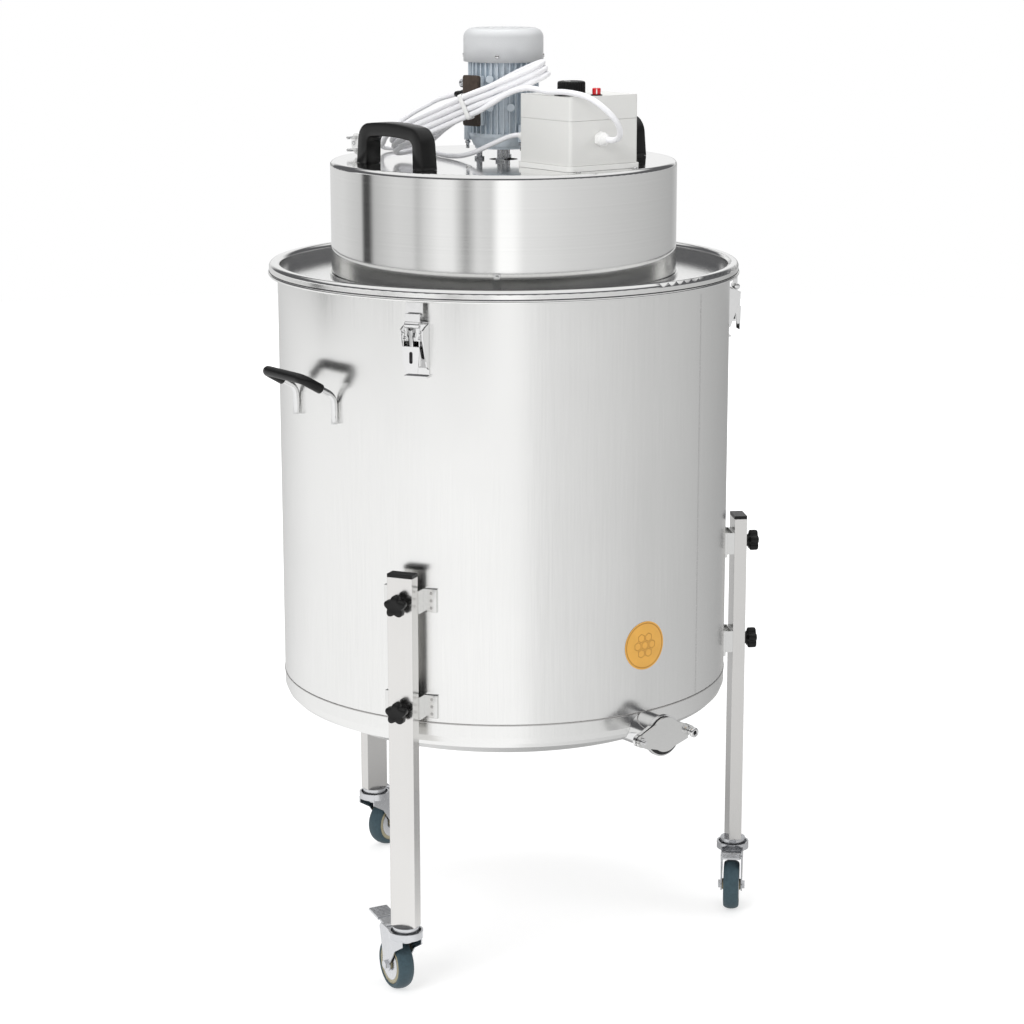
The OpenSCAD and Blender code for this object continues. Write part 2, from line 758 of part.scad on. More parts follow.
// Clips that hold the hood's foot to the ring's collar
clip_w = 12;
clip_h = 26;
clip_t = 2;
clip_ball_r = 4.5;
module hood_clips() {
    color(bright) for (a = clip_angles) round_of_tank(a) difference() {
        union() {
            translate([-clip_w / 2, -hood_r - clip_t, hood_z0 + collar_h + 2])
                cube([clip_w, 2 * clip_t, clip_h]);
            translate([0, -hood_r - 1, hood_z0 + 24]) rotate([90, 0, 0]) cylinder(h = 8, r = clip_ball_r);
        }
        cylinder(h = hood_top, r = hood_r + 0.05, $fn = 180);
    }
}

foot_l = 26;
grip_round = 20;
module hood_handle() {
    translate([grip_x - grip_w / 2, 0, hood_top + seat]) rotate([90, 0, 90])
        linear_extrude(grip_w) difference() {
        union() {
            translate([-grip_l / 2, 0]) square([grip_l, grip_h - grip_round]);
            translate([-grip_l / 2 + grip_round, 0]) square([grip_l - 2 * grip_round, grip_h]);
            for (s = [-1, 1]) translate([s * (grip_l / 2 - grip_round), grip_h - grip_round])
                circle(r = grip_round);
        }
        translate([-grip_l / 2 + foot_l + 6, -eps]) square([grip_l - 2 * foot_l - 12, grip_h - 20]);
        translate([-grip_l / 2 + foot_l, -eps]) square([grip_l - 2 * foot_l, grip_h - 26]);
        for (s = [-1, 1]) translate([s * (grip_l / 2 - foot_l - 6), grip_h - 27]) circle(r = 6);
    }
}

module hood_handles() {
    color(black) {
        hood_handle();
        mirror([1, 0, 0]) hood_handle();
    }
}

// Control box on its folded tray
box_r = 5;
box_wall = 3;
box_z = hood_top + tray_h + 0.2;
lid_z = box_z + box_h - box_lid_h;
box_x0 = -box_left;
box_y0 = -box_back - box_d;
tray_lip = 3;

module box_outline(grow) {
    translate([box_x0 - grow, box_y0 - grow]) rounded_square(box_w + 2 * grow, box_d + 2 * grow, box_r + grow);
}

module box_tray() {
    color(bright) translate([0, 0, hood_top + 0.2]) difference() {
        linear_extrude(tray_h - 0.2) box_outline(tray_lip);
        translate([0, 0, -eps]) linear_extrude(tray_h - 0.2 - sheet_t + eps) box_outline(tray_lip - sheet_t);
    }
}

main_gland = [0, box_y0, hood_top + 46];
lead_gland = [-40, -box_back, hood_top + 44];
module box_base() {
    color(abs_grey) difference() {
        translate([0, 0, box_z]) linear_extrude(box_h - box_lid_h) box_outline(0);
        translate([0, 0, box_z + box_wall]) linear_extrude(box_h) box_outline(-box_wall);
        translate(main_gland + [0, 5, 0]) rotate([90, 0, 0]) cylinder(h = 10, r = cord_d / 2 + 0.3);
        translate(lead_gland + [0, 5, 0]) rotate([90, 0, 0]) cylinder(h = 10, r = lead_d / 2 + 0.3);
    }
}

dial_at = [-24, -198];
button_at = [4, -222];
module box_lid() {
    color(abs_grey) difference() {
        translate([0, 0, lid_z + 0.2]) linear_extrude(box_lid_h - 0.2) box_outline(0);
        translate([0, 0, lid_z - eps]) linear_extrude(box_lid_h - box_wall + eps) box_outline(-box_wall);
        translate([dial_at[0], dial_at[1], lid_z]) cylinder(h = 60, r = 3 + run);
        translate([button_at[0], button_at[1], lid_z]) cylinder(h = 60, r = button_d / 2 + 0.3);
    }
}

// Speed dial on its spindle and sprung red button
module dial_knob() {
    color(black) translate([dial_at[0], dial_at[1], box_z + box_h]) {
        translate([0, 0, seat]) cylinder(h = dial_h - seat, r = dial_d / 2 - 1.5);
        for (i = [0 : 23]) rotate([0, 0, 15 * i]) translate([dial_d / 2 - 1.5, 0, seat])
            cylinder(h = dial_h - 3, r = 1.5);
        translate([0, 0, -box_wall - 6]) cylinder(h = box_wall + 7, r = 3);
    }
}

button_out = 11;
module push_button() {
    color("red") translate([button_at[0], button_at[1], box_z + box_h]) {
        translate([0, 0, -box_wall - 3]) cylinder(h = button_out + box_wall + 3, r = button_d / 2);
        translate([0, 0, -box_wall - 3]) cylinder(h = 3 - seat, r = button_d / 2 + 1.5);
    }
}

// Cord glands: a hexagon at the wall, a dome and a tapered boot where the mains cord leaves
boot_l = 20;
module gland(r, boot, bore) {
    difference() {
        union() {
            translate([0, 0, 0.1]) cylinder(h = 5, r = r * 1.15, $fn = 6);
            cylinder(h = 11, r = r);
            translate([0, 0, 11]) cylinder(h = boot, r1 = r * 0.8, r2 = bore + 1.2);
        }
        translate([0, 0, -eps]) cylinder(h = 60, r = bore);
    }
}

module box_glands() {
    color(cord_white) {
        translate(main_gland + [0, -0.1, 0]) rotate([90, 0, 0]) difference() {
            gland(10, boot_l - 12, cord_d / 2 + 0.05);
        }
        translate(lead_gland + [0, 0.1, 0]) rotate([-90, 0, 0]) gland(8, 6, lead_d / 2 + 0.05);
    }
}

// Motor: pillars, finned body with its end shield, cowl, fan and shaft
shield_z = hood_top + pillar_h;
fin_z = shield_z + shield_h;
cowl_z = fin_z + fin_h;
body_r = fin_d / 2 - 7;
motor_shaft_r = 7;

module motor_pillars() {
    color(zinc) for (a = [45, 135, 225, 315]) rotate([0, 0, a]) translate([pillar_pcd / 2, 0, hood_top + 0.1]) {
        cylinder(h = pillar_h - 0.2, r = 4.5);
        cylinder(h = 4, r = 7.5, $fn = 6);
    }
}

pad_angle = -42;
lug_angles = [-127, -7, 113];
module motor_body() {
    color("#b4bcc4") difference() {
        union() {
            translate([0, 0, shield_z]) cylinder(h = 4, r = fin_d / 2 - 10);
            translate([0, 0, shield_z + 4]) cylinder(h = shield_h - 4, r1 = fin_d / 2 - 8, r2 = fin_d / 2 - 2);
            translate([0, 0, fin_z]) cylinder(h = 6, r = fin_d / 2 - 1);
            translate([0, 0, fin_z]) cylinder(h = fin_h + 4, r = body_r);
            for (i = [0 : fin_count - 1]) rotate([0, 0, 360 * i / fin_count + 3])
                translate([body_r - 1, -1.1, fin_z + 5]) cube([8, 2.2, fin_h - 5]);
            for (a = lug_angles) rotate([0, 0, a]) translate([0, -fin_d / 2 - 1, fin_z - 6])
                cylinder(h = 26, r = 5.5);
            for (dx = [-16, 16], dz = [-21, 21]) rotate([0, 0, pad_angle]) translate([dx, -36, fin_z + 67 + dz])
                rotate([90, 0, 0]) cylinder(h = 18, r = 6);
        }
        translate([0, 0, shield_z - eps]) cylinder(h = shield_h + fin_h + 20, r = motor_shaft_r + run);
    }
}

cowl_edge = 14;
module motor_cowl() {
    r = cowl_d / 2;
    color("silver") rotate_extrude($fn = 96) difference() {
        union() {
            translate([0, cowl_z]) square([r, cowl_h - cowl_edge]);
            translate([0, cowl_z]) square([r - cowl_edge, cowl_h]);
            translate([r - cowl_edge, cowl_z + cowl_h - cowl_edge]) circle(r = cowl_edge);
        }
        translate([-1, cowl_z - 1]) square([fin_d / 2 + seat + 1, 3.5]);
        translate([-1, cowl_z + 2]) square([r - 2 + 1, cowl_h - cowl_edge - 2]);
        translate([-1, cowl_z + 2]) square([r - cowl_edge + 1, cowl_h - 4]);
        translate([r - cowl_edge, cowl_z + cowl_h - cowl_edge]) circle(r = cowl_edge - 2);
    }
}

module motor_fan() {
    color("#3a3a3a") translate([0, 0, cowl_z + 14]) difference() {
        union() {
            cylinder(h = 16, r = 16);
            cylinder(h = 2, r = cowl_d / 2 - 12);
            for (i = [0 : 7]) rotate([0, 0, 45 * i]) translate([10, -1, 0]) cube([cowl_d / 2 - 22, 2, 16]);
        }
        translate([0, 0, -eps]) cylinder(h = 20, r = motor_shaft_r + 0.02);
    }
}

// Motor shaft with the slotted sleeve that drives the drum's cross pin
sleeve_r = shaft_d / 2 + 8;
coupling_play = 1.5;
module motor_shaft() {
    color(zinc) difference() {
        union() {
            translate([0, 0, coupling_z + 20]) cylinder(h = cowl_z + 32 - coupling_z - 20, r = motor_shaft_r);
            translate([0, 0, coupling_z - 12]) cylinder(h = 50, r = sleeve_r);
        }
        translate([0, 0, coupling_z - 13]) cylinder(h = 27, r = shaft_d / 2 + coupling_play);
        translate([-30, -4.5, coupling_z - 13]) cube([60, 9, 19]);
    }
}

// Terminal box on the motor's side with a gland and a blanking plug
box_turn = -80;
term_w = 40;
term_h = 76;
term_r = 70;
term_z = fin_z + 18;
term_lead_z = term_z + 46;
term_side = 24;
term_cover = 12.5;
term_step = 7;
module terminal_box() {
    round_of_tank(box_turn) {
        color("#4a3a30") difference() {
            union() {
                translate([-term_w / 2, -term_r, term_z]) cube([term_w, term_cover, term_h]);
                translate([-term_w / 2, -term_r + 1, term_z]) cube([term_w - term_step, 23, term_h]);
            }
            translate([0, 0, term_z - eps]) cylinder(h = term_h + 2, r = fin_d / 2 + seat);
        }
        color(black) translate([-term_w / 2 - 0.1, -term_r + 11, term_lead_z]) rotate([0, -90, 0])
            gland(7, term_side - 11, lead_d / 2 + 0.05);
        color(zinc) translate([-term_w / 2 - 0.1, -term_r + 11, term_lead_z + 17]) rotate([0, -90, 0])
            cylinder(h = 12, r = 6.5);
    }
}

// Tubes for cords: rings of points swept along a route
function unit(v) = v / norm(v);
function tangent(p, i) = i == 0 ? unit(p[1] - p[0])
    : i == len(p) - 1 ? unit(p[i] - p[i - 1])
    : unit(unit(p[i + 1] - p[i]) + unit(p[i] - p[i - 1]));
function side_of(t) = abs(t[2]) < 0.9 ? unit(cross(t, [0, 0, 1])) : unit(cross(t, [1, 0, 0]));
function frame_next(u, t) = unit(u - t * (u * t));
function frames(p, i = 0, u = undef) = i == len(p) ? []
    : let (t = tangent(p, i), v = is_undef(u) ? side_of(t) : frame_next(u, t))
        concat([[v, cross(t, v)]], frames(p, i + 1, v));
// A smooth curve through the route's points
function spline(a, b, c, d, t) = 0.5 * (2 * b + (c - a) * t + (2 * a - 5 * b + 4 * c - d) * t * t
    + (3 * b - a - 3 * c + d) * t * t * t);
function smooth(p, n) = [for (i = [0 : len(p) - 2], k = [0 : n - 1])
    spline(i == 0 ? 2 * p[0] - p[1] : p[i - 1], p[i], p[i + 1],
        i == len(p) - 2 ? 2 * p[i + 1] - p[i] : p[i + 2], k / n), p[len(p) - 1]];

module tube(p, d, sides) {
    f = frames(p);
    n = len(p);
    pts = [for (i = [0 : n - 1], k = [0 : sides - 1]) let (a = 360 * k / sides)
        p[i] + d / 2 * (cos(a) * f[i][0] + sin(a) * f[i][1])];
    walls = [for (i = [0 : n - 2], k = [0 : sides - 1]) let (a = i * sides + k, b = i * sides + (k + 1) % sides)
        each [[a, a + sides, b], [b, a + sides, b + sides]]];
    ends = concat([for (k = [1 : sides - 2]) [0, k, k + 1]],
        [for (k = [1 : sides - 2]) [(n - 1) * sides, (n - 1) * sides + k + 1, (n - 1) * sides + k]]);
    polyhedron(points = pts, faces = concat(walls, ends), convexity = 10);
}

// The hank: runs between a right fold behind the control box and a left fold on the hood.
// Its middle line is that of the lowest layer, and runs lie on both sides of it.
cord_lift = hood_top - 1225;
hank_line = [for (q = [[-14, -97, 1341], [-55, -70, 1319], [-92, -38, 1298], [-113, 18, 1271], [-123, 70, 1246]])
    q + [0, 0, cord_lift]];
fold_r = 25.5;
hank_step = cord_d + 0.8;
hank_runs = 7;
waist_w = (cord_d + 0.9) / 2;
line_parts = len(hank_line) - 1;
function line_knot(i) = i < 0 ? 2 * hank_line[0] - hank_line[1]
    : i > line_parts ? 2 * hank_line[line_parts] - hank_line[line_parts - 1] : hank_line[i];
function line_at(s) = let (i = min(floor(s * line_parts), line_parts - 1))
    spline(line_knot(i - 1), line_knot(i), line_knot(i + 1), line_knot(i + 2), s * line_parts - i);
function line_u(s) = unit(line_at(min(s + 0.02, 1)) - line_at(max(s - 0.02, 0)));
function line_w(s) = unit(cross([0, 0, 1], line_u(s)));
function line_n(s) = cross(line_u(s), line_w(s));
function drawn(x) = waist_w + (fold_r - waist_w) * (1 + cos(360 * x)) / 2;
// Height in steps of a run, which climbs when it runs back to the right
function climb(k, x) = floor(k / 2) + (k % 2 == 1 ? (1 - cos(180 * x)) / 2 : 0);
function run_point(k, x) = let (back = k % 2 == 1, s = back ? 1 - x : x)
    line_at(s) + line_w(s) * drawn(s) * (back ? -1 : 1) + line_n(s) * hank_step * climb(k, x);
function fold_point(k, x) =
    let (at_left = k % 2 == 0, s = at_left ? 1 : 0, side = at_left ? 1 : -1, a = 180 * x)
    line_at(s) + line_n(s) * hank_step * climb(k + 1, 0)
    + line_u(s) * fold_r * sin(a) * side + line_w(s) * fold_r * cos(a) * side;
// The first run starts at the waist, where the mains cord comes down to it
function hank_points(run_n, fold_n) = [for (k = [0 : hank_runs - 1]) each concat(
    [for (i = [k == 0 ? run_n / 2 : 0 : run_n]) run_point(k, i / run_n)],
    k == hank_runs - 1 ? [] : [for (i = [1 : fold_n - 1]) fold_point(k, i / fold_n)])];
hank_route = hank_points(6, 6);

// Least gap of the hank to itself, measured on closely set points
fine = hank_points(24, 12);
near_n = 9;
self_gap = min([for (i = [0 : len(fine) - 1 - near_n], j = [i + near_n : len(fine) - 1])
    norm(fine[i] - fine[j])]) - cord_d;
echo(hank_least_gap = self_gap);

hank_start = hank_route[0];
start_way = unit(hank_route[1] - hank_route[0]);
hank_n = len(hank_route);
hank_end = hank_route[hank_n - 1];
end_way = unit(hank_end - hank_route[hank_n - 2]);
gland_tip = main_gland + [0, -boot_l + 0.9, 0];

// The plug lies on the hood beyond the left handle, its cord comes in from the side
plug_r = 18;
plug_at = [-144, 140, hood_top + plug_r + 2];

// Route of the mains cord from its gland over the box's lid to the hank, then on to the plug
cord_out = [[0, -267, 1271], [-3, -281, 1275], [-9, -293, 1282], [-17, -301, 1292], [-27, -305, 1303],
    [-37, -303, 1314], [-46, -296, 1324], [-52, -284, 1332], [-55, -269, 1337], [-55, -252, 1339],
    [-54, -233, 1340], [-52, -212, 1340], [-51, -190, 1339], [-51, -168, 1339], [-52, -147, 1341],
    [-55, -128, 1341], [-61, -110, 1337], [-69, -93, 1329], [-78, -77, 1318], [-87, -60, 1307]];
// Gap between the ends of two pieces of one cord
cord_gap = 0.2;
cord_route_a = concat([gland_tip], [for (q = cord_out) q + [0, 0, cord_lift]],
    [hank_start - start_way * cord_d, hank_start - start_way * cord_gap]);
cord_tail = [[-153.4, 93.6, 1262.2], [-151.7, 102.5, 1256.1], [-148, 111.4, 1250.6], [-145.2, 121.6, 1246.7]];
cord_route_b = concat([hank_end + end_way * cord_gap, hank_end + end_way * cord_d],
    [for (q = cord_tail) q + [0, 0, cord_lift]],
    [plug_at - [0, cord_d, 0], plug_at - [0, cord_d / 2, 0], plug_at - [0, cord_gap, 0]]);

// Route of the motor lead from the terminal box down to the hood, round behind and back to the box
function from_turned(v, a) = [cos(a) * v[0] - sin(a) * v[1], sin(a) * v[0] + cos(a) * v[1], v[2]];
lead_start = from_turned([-term_w / 2 - term_side - 0.1 - cord_gap, 11 - term_r, term_lead_z], box_turn);
lead_mid = [[-61, 86, 1314], [-68, 110, 1303], [-77, 135, 1290], [-85, 158, 1275], [-90, 176, 1262],
    [-91, 192, 1250], [-86, 207, 1240], [-76, 217, 1233], [-60, 222, 1230], [-44, 218, 1229.3],
    [-33, 206, 1229.3], [-29, 190, 1229.3], [-30, 171, 1229.3], [-36, 147, 1229.3], [-46, 119, 1229.3],
    [-57, 88, 1229.3], [-63, 55, 1229.3], [-64, 22, 1232], [-62, -8, 1239], [-57, -33, 1249],
    [-51, -54, 1258], [-45, -70, 1265]];
lead_route = concat([lead_start], [for (q = lead_mid) q + [0, 0, cord_lift]],
    [lead_gland + [-0.5, 27, 0], lead_gland + [0, 17.2, 0]]);

module mains_cord() {
    color(cord_white) {
        tube(smooth(cord_route_a, 2), cord_d, 8);
        tube(smooth(cord_route_b, 2), cord_d, 8);
    }
}

module cord_hank() {
    color(cord_white) tube(hank_route, cord_d, 6);
}

module motor_lead() {
    color(cord_white) tube(smooth(lead_route, 2), lead_d, 8);
}

// A flat band round the hank's waist
tie_w = 6;
tie_t = 1.2;
tie_gap = 1.1;
module tie_outline(grow) {
    x = waist_w + cord_d / 2 + grow;
    y0 = -cord_d / 2 - grow;
    y1 = hank_step * (hank_runs - 1) / 2 + cord_d / 2 + grow;
    translate([-x, y0]) rounded_square(2 * x, y1 - y0, 3);
}

module hank_tie() {
    o = line_at(0.5);
    w = line_w(0.5);
    n = line_n(0.5);
    u = line_u(0.5);
    m = [[w[0], n[0], u[0], o[0]], [w[1], n[1], u[1], o[1]], [w[2], n[2], u[2], o[2]], [0, 0, 0, 1]];
    color(cord_white) multmatrix(m) linear_extrude(tie_w, center = true) difference() {
        tie_outline(tie_gap + tie_t);
        tie_outline(tie_gap);
    }
}

// Mains plug: a tapered boot at the side of a round body with two pins, one above the other
pin_gap = 19;
boot_end_r = 9;
plug_w = 24;
plug_front = boot_end_r + 0.5;
plug_mid = boot_l + plug_r - 3;
plug_pin_l = 19;
plug_pin_r = 2.4;
earth_hole_r = 2.6;
earth_hole_at = 9;
module mains_plug() {
    color(cord_white) translate(plug_at) {
        rotate([-90, 0, 0]) cylinder(h = boot_l, r1 = cord_d / 2 + 1, r2 = boot_end_r);
        translate([-plug_front, plug_mid, 0]) rotate([0, 90, 0]) {
            difference() {
                cylinder(h = plug_w, r = plug_r);
                translate([0, earth_hole_at, -eps]) cylinder(h = plug_w / 2, r = earth_hole_r);
            }
            for (s = [-1, 1]) translate([s * pin_gap / 2, 0, -plug_pin_l])
                cylinder(h = plug_pin_l + 1, r = plug_pin_r);
        }
    }
}

tank_wall();
bottom_pan();
cover_ring();
legs();
leg_caps();
leg_brackets();
castor_stems();
handle_bars();
handle_grips();
latch_bases();
latch_catches();
gate_body();
gate_gasket();
bearing_spider();
lower_bearing();
gate_plate();
gate_knob();
star_knob(LEFT, bracket_zs[0]);  // star_knob_left_top
star_knob(LEFT, bracket_zs[1]);  // star_knob_left_low
star_knob(RIGHT, bracket_zs[0]);  // star_knob_right_top
star_knob(RIGHT, bracket_zs[1]);  // star_knob_right_low
star_knob(REAR, bracket_zs[0]);  // star_knob_rear_top
star_knob(REAR, bracket_zs[1]);  // star_knob_rear_low
castor_fork(0);  // castor_fork_left
castor_fork(1);  // castor_fork_right
castor_fork(2);  // castor_fork_rear
castor_wheel(0);  // castor_wheel_left
castor_wheel(1);  // castor_wheel_right
castor_wheel(2);  // castor_wheel_rear
brake_pedal(0);  // brake_pedal_left
brake_pedal(1);  // brake_pedal_right
brake_pedal(2);  // brake_pedal_rear
latch_lever(latch_angles[0]);  // latch_lever_left
latch_lever(latch_angles[1]);  // latch_lever_right
latch_lever(latch_angles[2]);  // latch_lever_rear
latch_hook(latch_angles[0]);  // latch_hook_left
latch_hook(latch_angles[1]);  // latch_hook_right
latch_hook(latch_angles[2]);  // latch_hook_rear
drum();
drum_shaft();
hood();
hood_clips();
hood_handles();
box_tray();
box_base();
box_lid();
box_glands();
motor_pillars();
motor_body();
motor_cowl();
terminal_box();
mains_cord();
cord_hank();
hank_tie();
mains_plug();
motor_lead();
dial_knob();
push_button();
motor_shaft();
motor_fan();
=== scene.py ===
import bpy
import bmesh
import math
from mathutils import Vector, Matrix


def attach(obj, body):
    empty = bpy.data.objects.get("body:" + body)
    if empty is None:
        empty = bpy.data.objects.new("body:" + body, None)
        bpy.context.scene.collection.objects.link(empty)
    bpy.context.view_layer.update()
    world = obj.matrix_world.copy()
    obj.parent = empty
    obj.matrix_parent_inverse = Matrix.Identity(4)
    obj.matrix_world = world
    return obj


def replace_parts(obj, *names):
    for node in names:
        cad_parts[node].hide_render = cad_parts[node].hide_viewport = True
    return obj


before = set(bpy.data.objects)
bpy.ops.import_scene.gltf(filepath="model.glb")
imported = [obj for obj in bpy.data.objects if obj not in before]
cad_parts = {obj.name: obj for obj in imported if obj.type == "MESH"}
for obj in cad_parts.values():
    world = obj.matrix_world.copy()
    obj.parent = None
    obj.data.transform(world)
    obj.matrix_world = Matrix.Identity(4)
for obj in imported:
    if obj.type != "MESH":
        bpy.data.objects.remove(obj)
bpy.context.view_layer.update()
MM = 0.001
scene = bpy.context.scene
scene.view_settings.view_transform = "Standard"

# Camera, solved from the photo
cam_data = bpy.data.cameras.new("camera")
cam_data.sensor_width = 36.0
cam_data.lens = 93.844
cam_data.clip_start = 0.05
cam_data.clip_end = 200
camera = bpy.data.objects.new("camera", cam_data)
scene.collection.objects.link(camera)
camera.location = (-2.47152, -3.30151, 1.59626)
camera.rotation_euler = [math.radians(a) for a in (77.322, 0.0572, -37.0033)]
scene.camera = camera


# Small maths
def vec(p):
    return Vector([float(c) for c in p])


def spline(a, b, c, d, t):
    return 0.5 * (2 * b + (c - a) * t + (2 * a - 5 * b + 4 * c - d) * t * t
                  + (3 * b - a - 3 * c + d) * t ** 3)


def smooth(p, n):
    p = [vec(q) for q in p]
    out = []
    for i in range(len(p) - 1):
        a = 2 * p[0] - p[1] if i == 0 else p[i - 1]
        d = 2 * p[i + 1] - p[i] if i == len(p) - 2 else p[i + 2]
        out += [spline(a, p[i], p[i + 1], d, k / n) for k in range(n)]
    return out + [p[-1]]


def turned(p, a):
    c, s = math.cos(math.radians(a)), math.sin(math.radians(a))
    return Vector((c * p[0] - s * p[1], s * p[0] + c * p[1], p[2]))


def z_turn(a):
    return Matrix.Rotation(math.radians(a), 4, "Z")


def shift(*at):
    return Matrix.Translation(at)


# Sizes that several pieces share, in millimetres and degrees as in the part's source
TANK_R, RING_R, Z_HOOD, LID = 350.0, 363.0, 1225.0, 1333.2
LEGS = (("left", -60), ("right", 60), ("rear", 180))
KNOB_LEVELS = (("top", 611), ("low", 449))
TERMINAL_A = -80

# Cord routes
CORD_D, LEAD_D = 8.5, 7.5
HANK_LINE = [vec(q) for q in ((-14, -97, 1341), (-55, -70, 1319), (-92, -38, 1298), (-113, 18, 1271),
                              (-123, 70, 1246))]
FOLD_R, STEP, RUNS = 25.5, CORD_D + 0.8, 7
WAIST = (CORD_D + 0.9) / 2
PARTS = len(HANK_LINE) - 1


def line_knot(i):
    if i < 0:
        return 2 * HANK_LINE[0] - HANK_LINE[1]
    if i > PARTS:
        return 2 * HANK_LINE[PARTS] - HANK_LINE[PARTS - 1]
    return HANK_LINE[i]


def line_at(s):
    i = min(int(math.floor(s * PARTS)), PARTS - 1)
    return spline(*[line_knot(i + k) for k in (-1, 0, 1, 2)], s * PARTS - i)


def line_u(s):
    return (line_at(min(s + 0.02, 1)) - line_at(max(s - 0.02, 0))).normalized()


def line_w(s):
    return Vector((0, 0, 1)).cross(line_u(s)).normalized()


def line_n(s):
    return line_u(s).cross(line_w(s))


def drawn(x):
    return WAIST + (FOLD_R - WAIST) * (1 + math.cos(2 * math.pi * x)) / 2


def climb(k, x):
    return k // 2 + ((1 - math.cos(math.pi * x)) / 2 if k % 2 else 0)


def run_point(k, x):
    s = 1 - x if k % 2 else x
    return line_at(s) + line_w(s) * drawn(s) * (-1 if k % 2 else 1) + line_n(s) * STEP * climb(k, x)


def fold_point(k, x):
    s, side = (1, 1) if k % 2 == 0 else (0, -1)
    a = math.pi * x
    return (line_at(s) + line_n(s) * STEP * climb(k + 1, 0) + line_u(s) * FOLD_R * math.sin(a) * side
            + line_w(s) * FOLD_R * math.cos(a) * side)


def hank_points(run_n, fold_n):
    out = []
    for k in range(RUNS):
        out += [run_point(k, i / run_n) for i in range(run_n // 2 if k == 0 else 0, run_n + 1)]
        if k < RUNS - 1:
            out += [fold_point(k, i / fold_n) for i in range(1, fold_n)]
    return out


hank = hank_points(24, 16)
coarse = hank_points(6, 6)
start_way = (coarse[1] - coarse[0]).normalized()
GLAND_TIP = vec((0, -254.1, 1271))
PLUG_AT = vec((-144, 140, 1245))
cord_out = [(0, -267, 1271), (-3, -281, 1275), (-9, -293, 1282), (-17, -301, 1292), (-27, -305, 1303),
            (-37, -303, 1314), (-46, -296, 1324), (-52, -284, 1332), (-55, -269, 1337), (-55, -252, 1339),
            (-54, -233, 1340), (-52, -212, 1340), (-51, -190, 1339), (-51, -168, 1339), (-52, -147, 1341),
            (-55, -128, 1341), (-61, -110, 1337), (-69, -93, 1329), (-78, -77, 1318), (-87, -60, 1307)]
cord_tail = [(-153.4, 93.6, 1262.2), (-151.7, 102.5, 1256.1), (-148, 111.4, 1250.6),
             (-145.2, 121.6, 1246.7)]
route_a = smooth([GLAND_TIP] + cord_out + [hank[0] - start_way * CORD_D, hank[0]], 6)
route_b = smooth([hank[-1], hank[-1] + line_u(1) * CORD_D] + cord_tail
                 + [PLUG_AT - Vector((0, CORD_D * k, 0)) for k in (1, 0.5, 0)], 6)
mains_route = route_a[:-1] + hank[:-1] + route_b
LEAD_GLAND = vec((-40, -113, 1269))
LEAD_START = turned((-44.1, -59, 1325), TERMINAL_A)
lead_mid = [(-61, 86, 1314), (-68, 110, 1303), (-77, 135, 1290), (-85, 158, 1275), (-90, 176, 1262),
            (-91, 192, 1250), (-86, 207, 1240), (-76, 217, 1233), (-60, 222, 1230), (-44, 218, 1229.3),
            (-33, 206, 1229.3), (-29, 190, 1229.3), (-30, 171, 1229.3), (-36, 147, 1229.3), (-46, 119, 1229.3),
            (-57, 88, 1229.3), (-63, 55, 1229.3), (-64, 22, 1232), (-62, -8, 1239), (-57, -33, 1249),
            (-51, -54, 1258), (-45, -70, 1265)]
lead_route = smooth([LEAD_START] + lead_mid
                    + [LEAD_GLAND + Vector((-0.5, 27, 0)), LEAD_GLAND + Vector((0, 17.2, 0))], 6)


# Materials
def node(nt, kind, **values):
    n = nt.nodes.new(kind)
    for k, v in values.items():
        if k in n.inputs.keys():
            n.inputs[k].default_value = v
        else:
            setattr(n, k, v)
    return n


def grey(c):
    return (c, c, c, 1) if isinstance(c, (int, float)) else (*c[:3], 1)


def ramp(nt, source, stops):
    """Colour that follows the value of source through (position, colour) stops."""
    n = nt.nodes.new("ShaderNodeValToRGB")
    e = n.color_ramp.elements
    while len(e) > 1:
        e.remove(e[0])
    e[0].position, e[0].color = stops[0][0], grey(stops[0][1])
    for pos, col in stops[1:]:
        e.new(pos).color = grey(col)
    nt.links.new(source, n.inputs["Fac"])
    return n.outputs["Color"]


def noise_of(nt, vector, scale, detail, rough):
    n = node(nt, "ShaderNodeTexNoise", Scale=scale, Detail=detail, Roughness=rough)
    nt.links.new(vector, n.inputs["Vector"])
    return n.outputs["Fac"]


def mixed(nt, factor, a, b, **how):
    """Mix of two colours; factor, a and b are numbers, colours or outputs of other nodes."""
    n = node(nt, "ShaderNodeMix", data_type="RGBA", **how)
    for key, value in (("Factor", factor), ("A", a), ("B", b)):
        if isinstance(value, bpy.types.NodeSocket):
            nt.links.new(value, n.inputs[key])
        else:
            n.inputs[key].default_value = value
    return n.outputs["Result"]


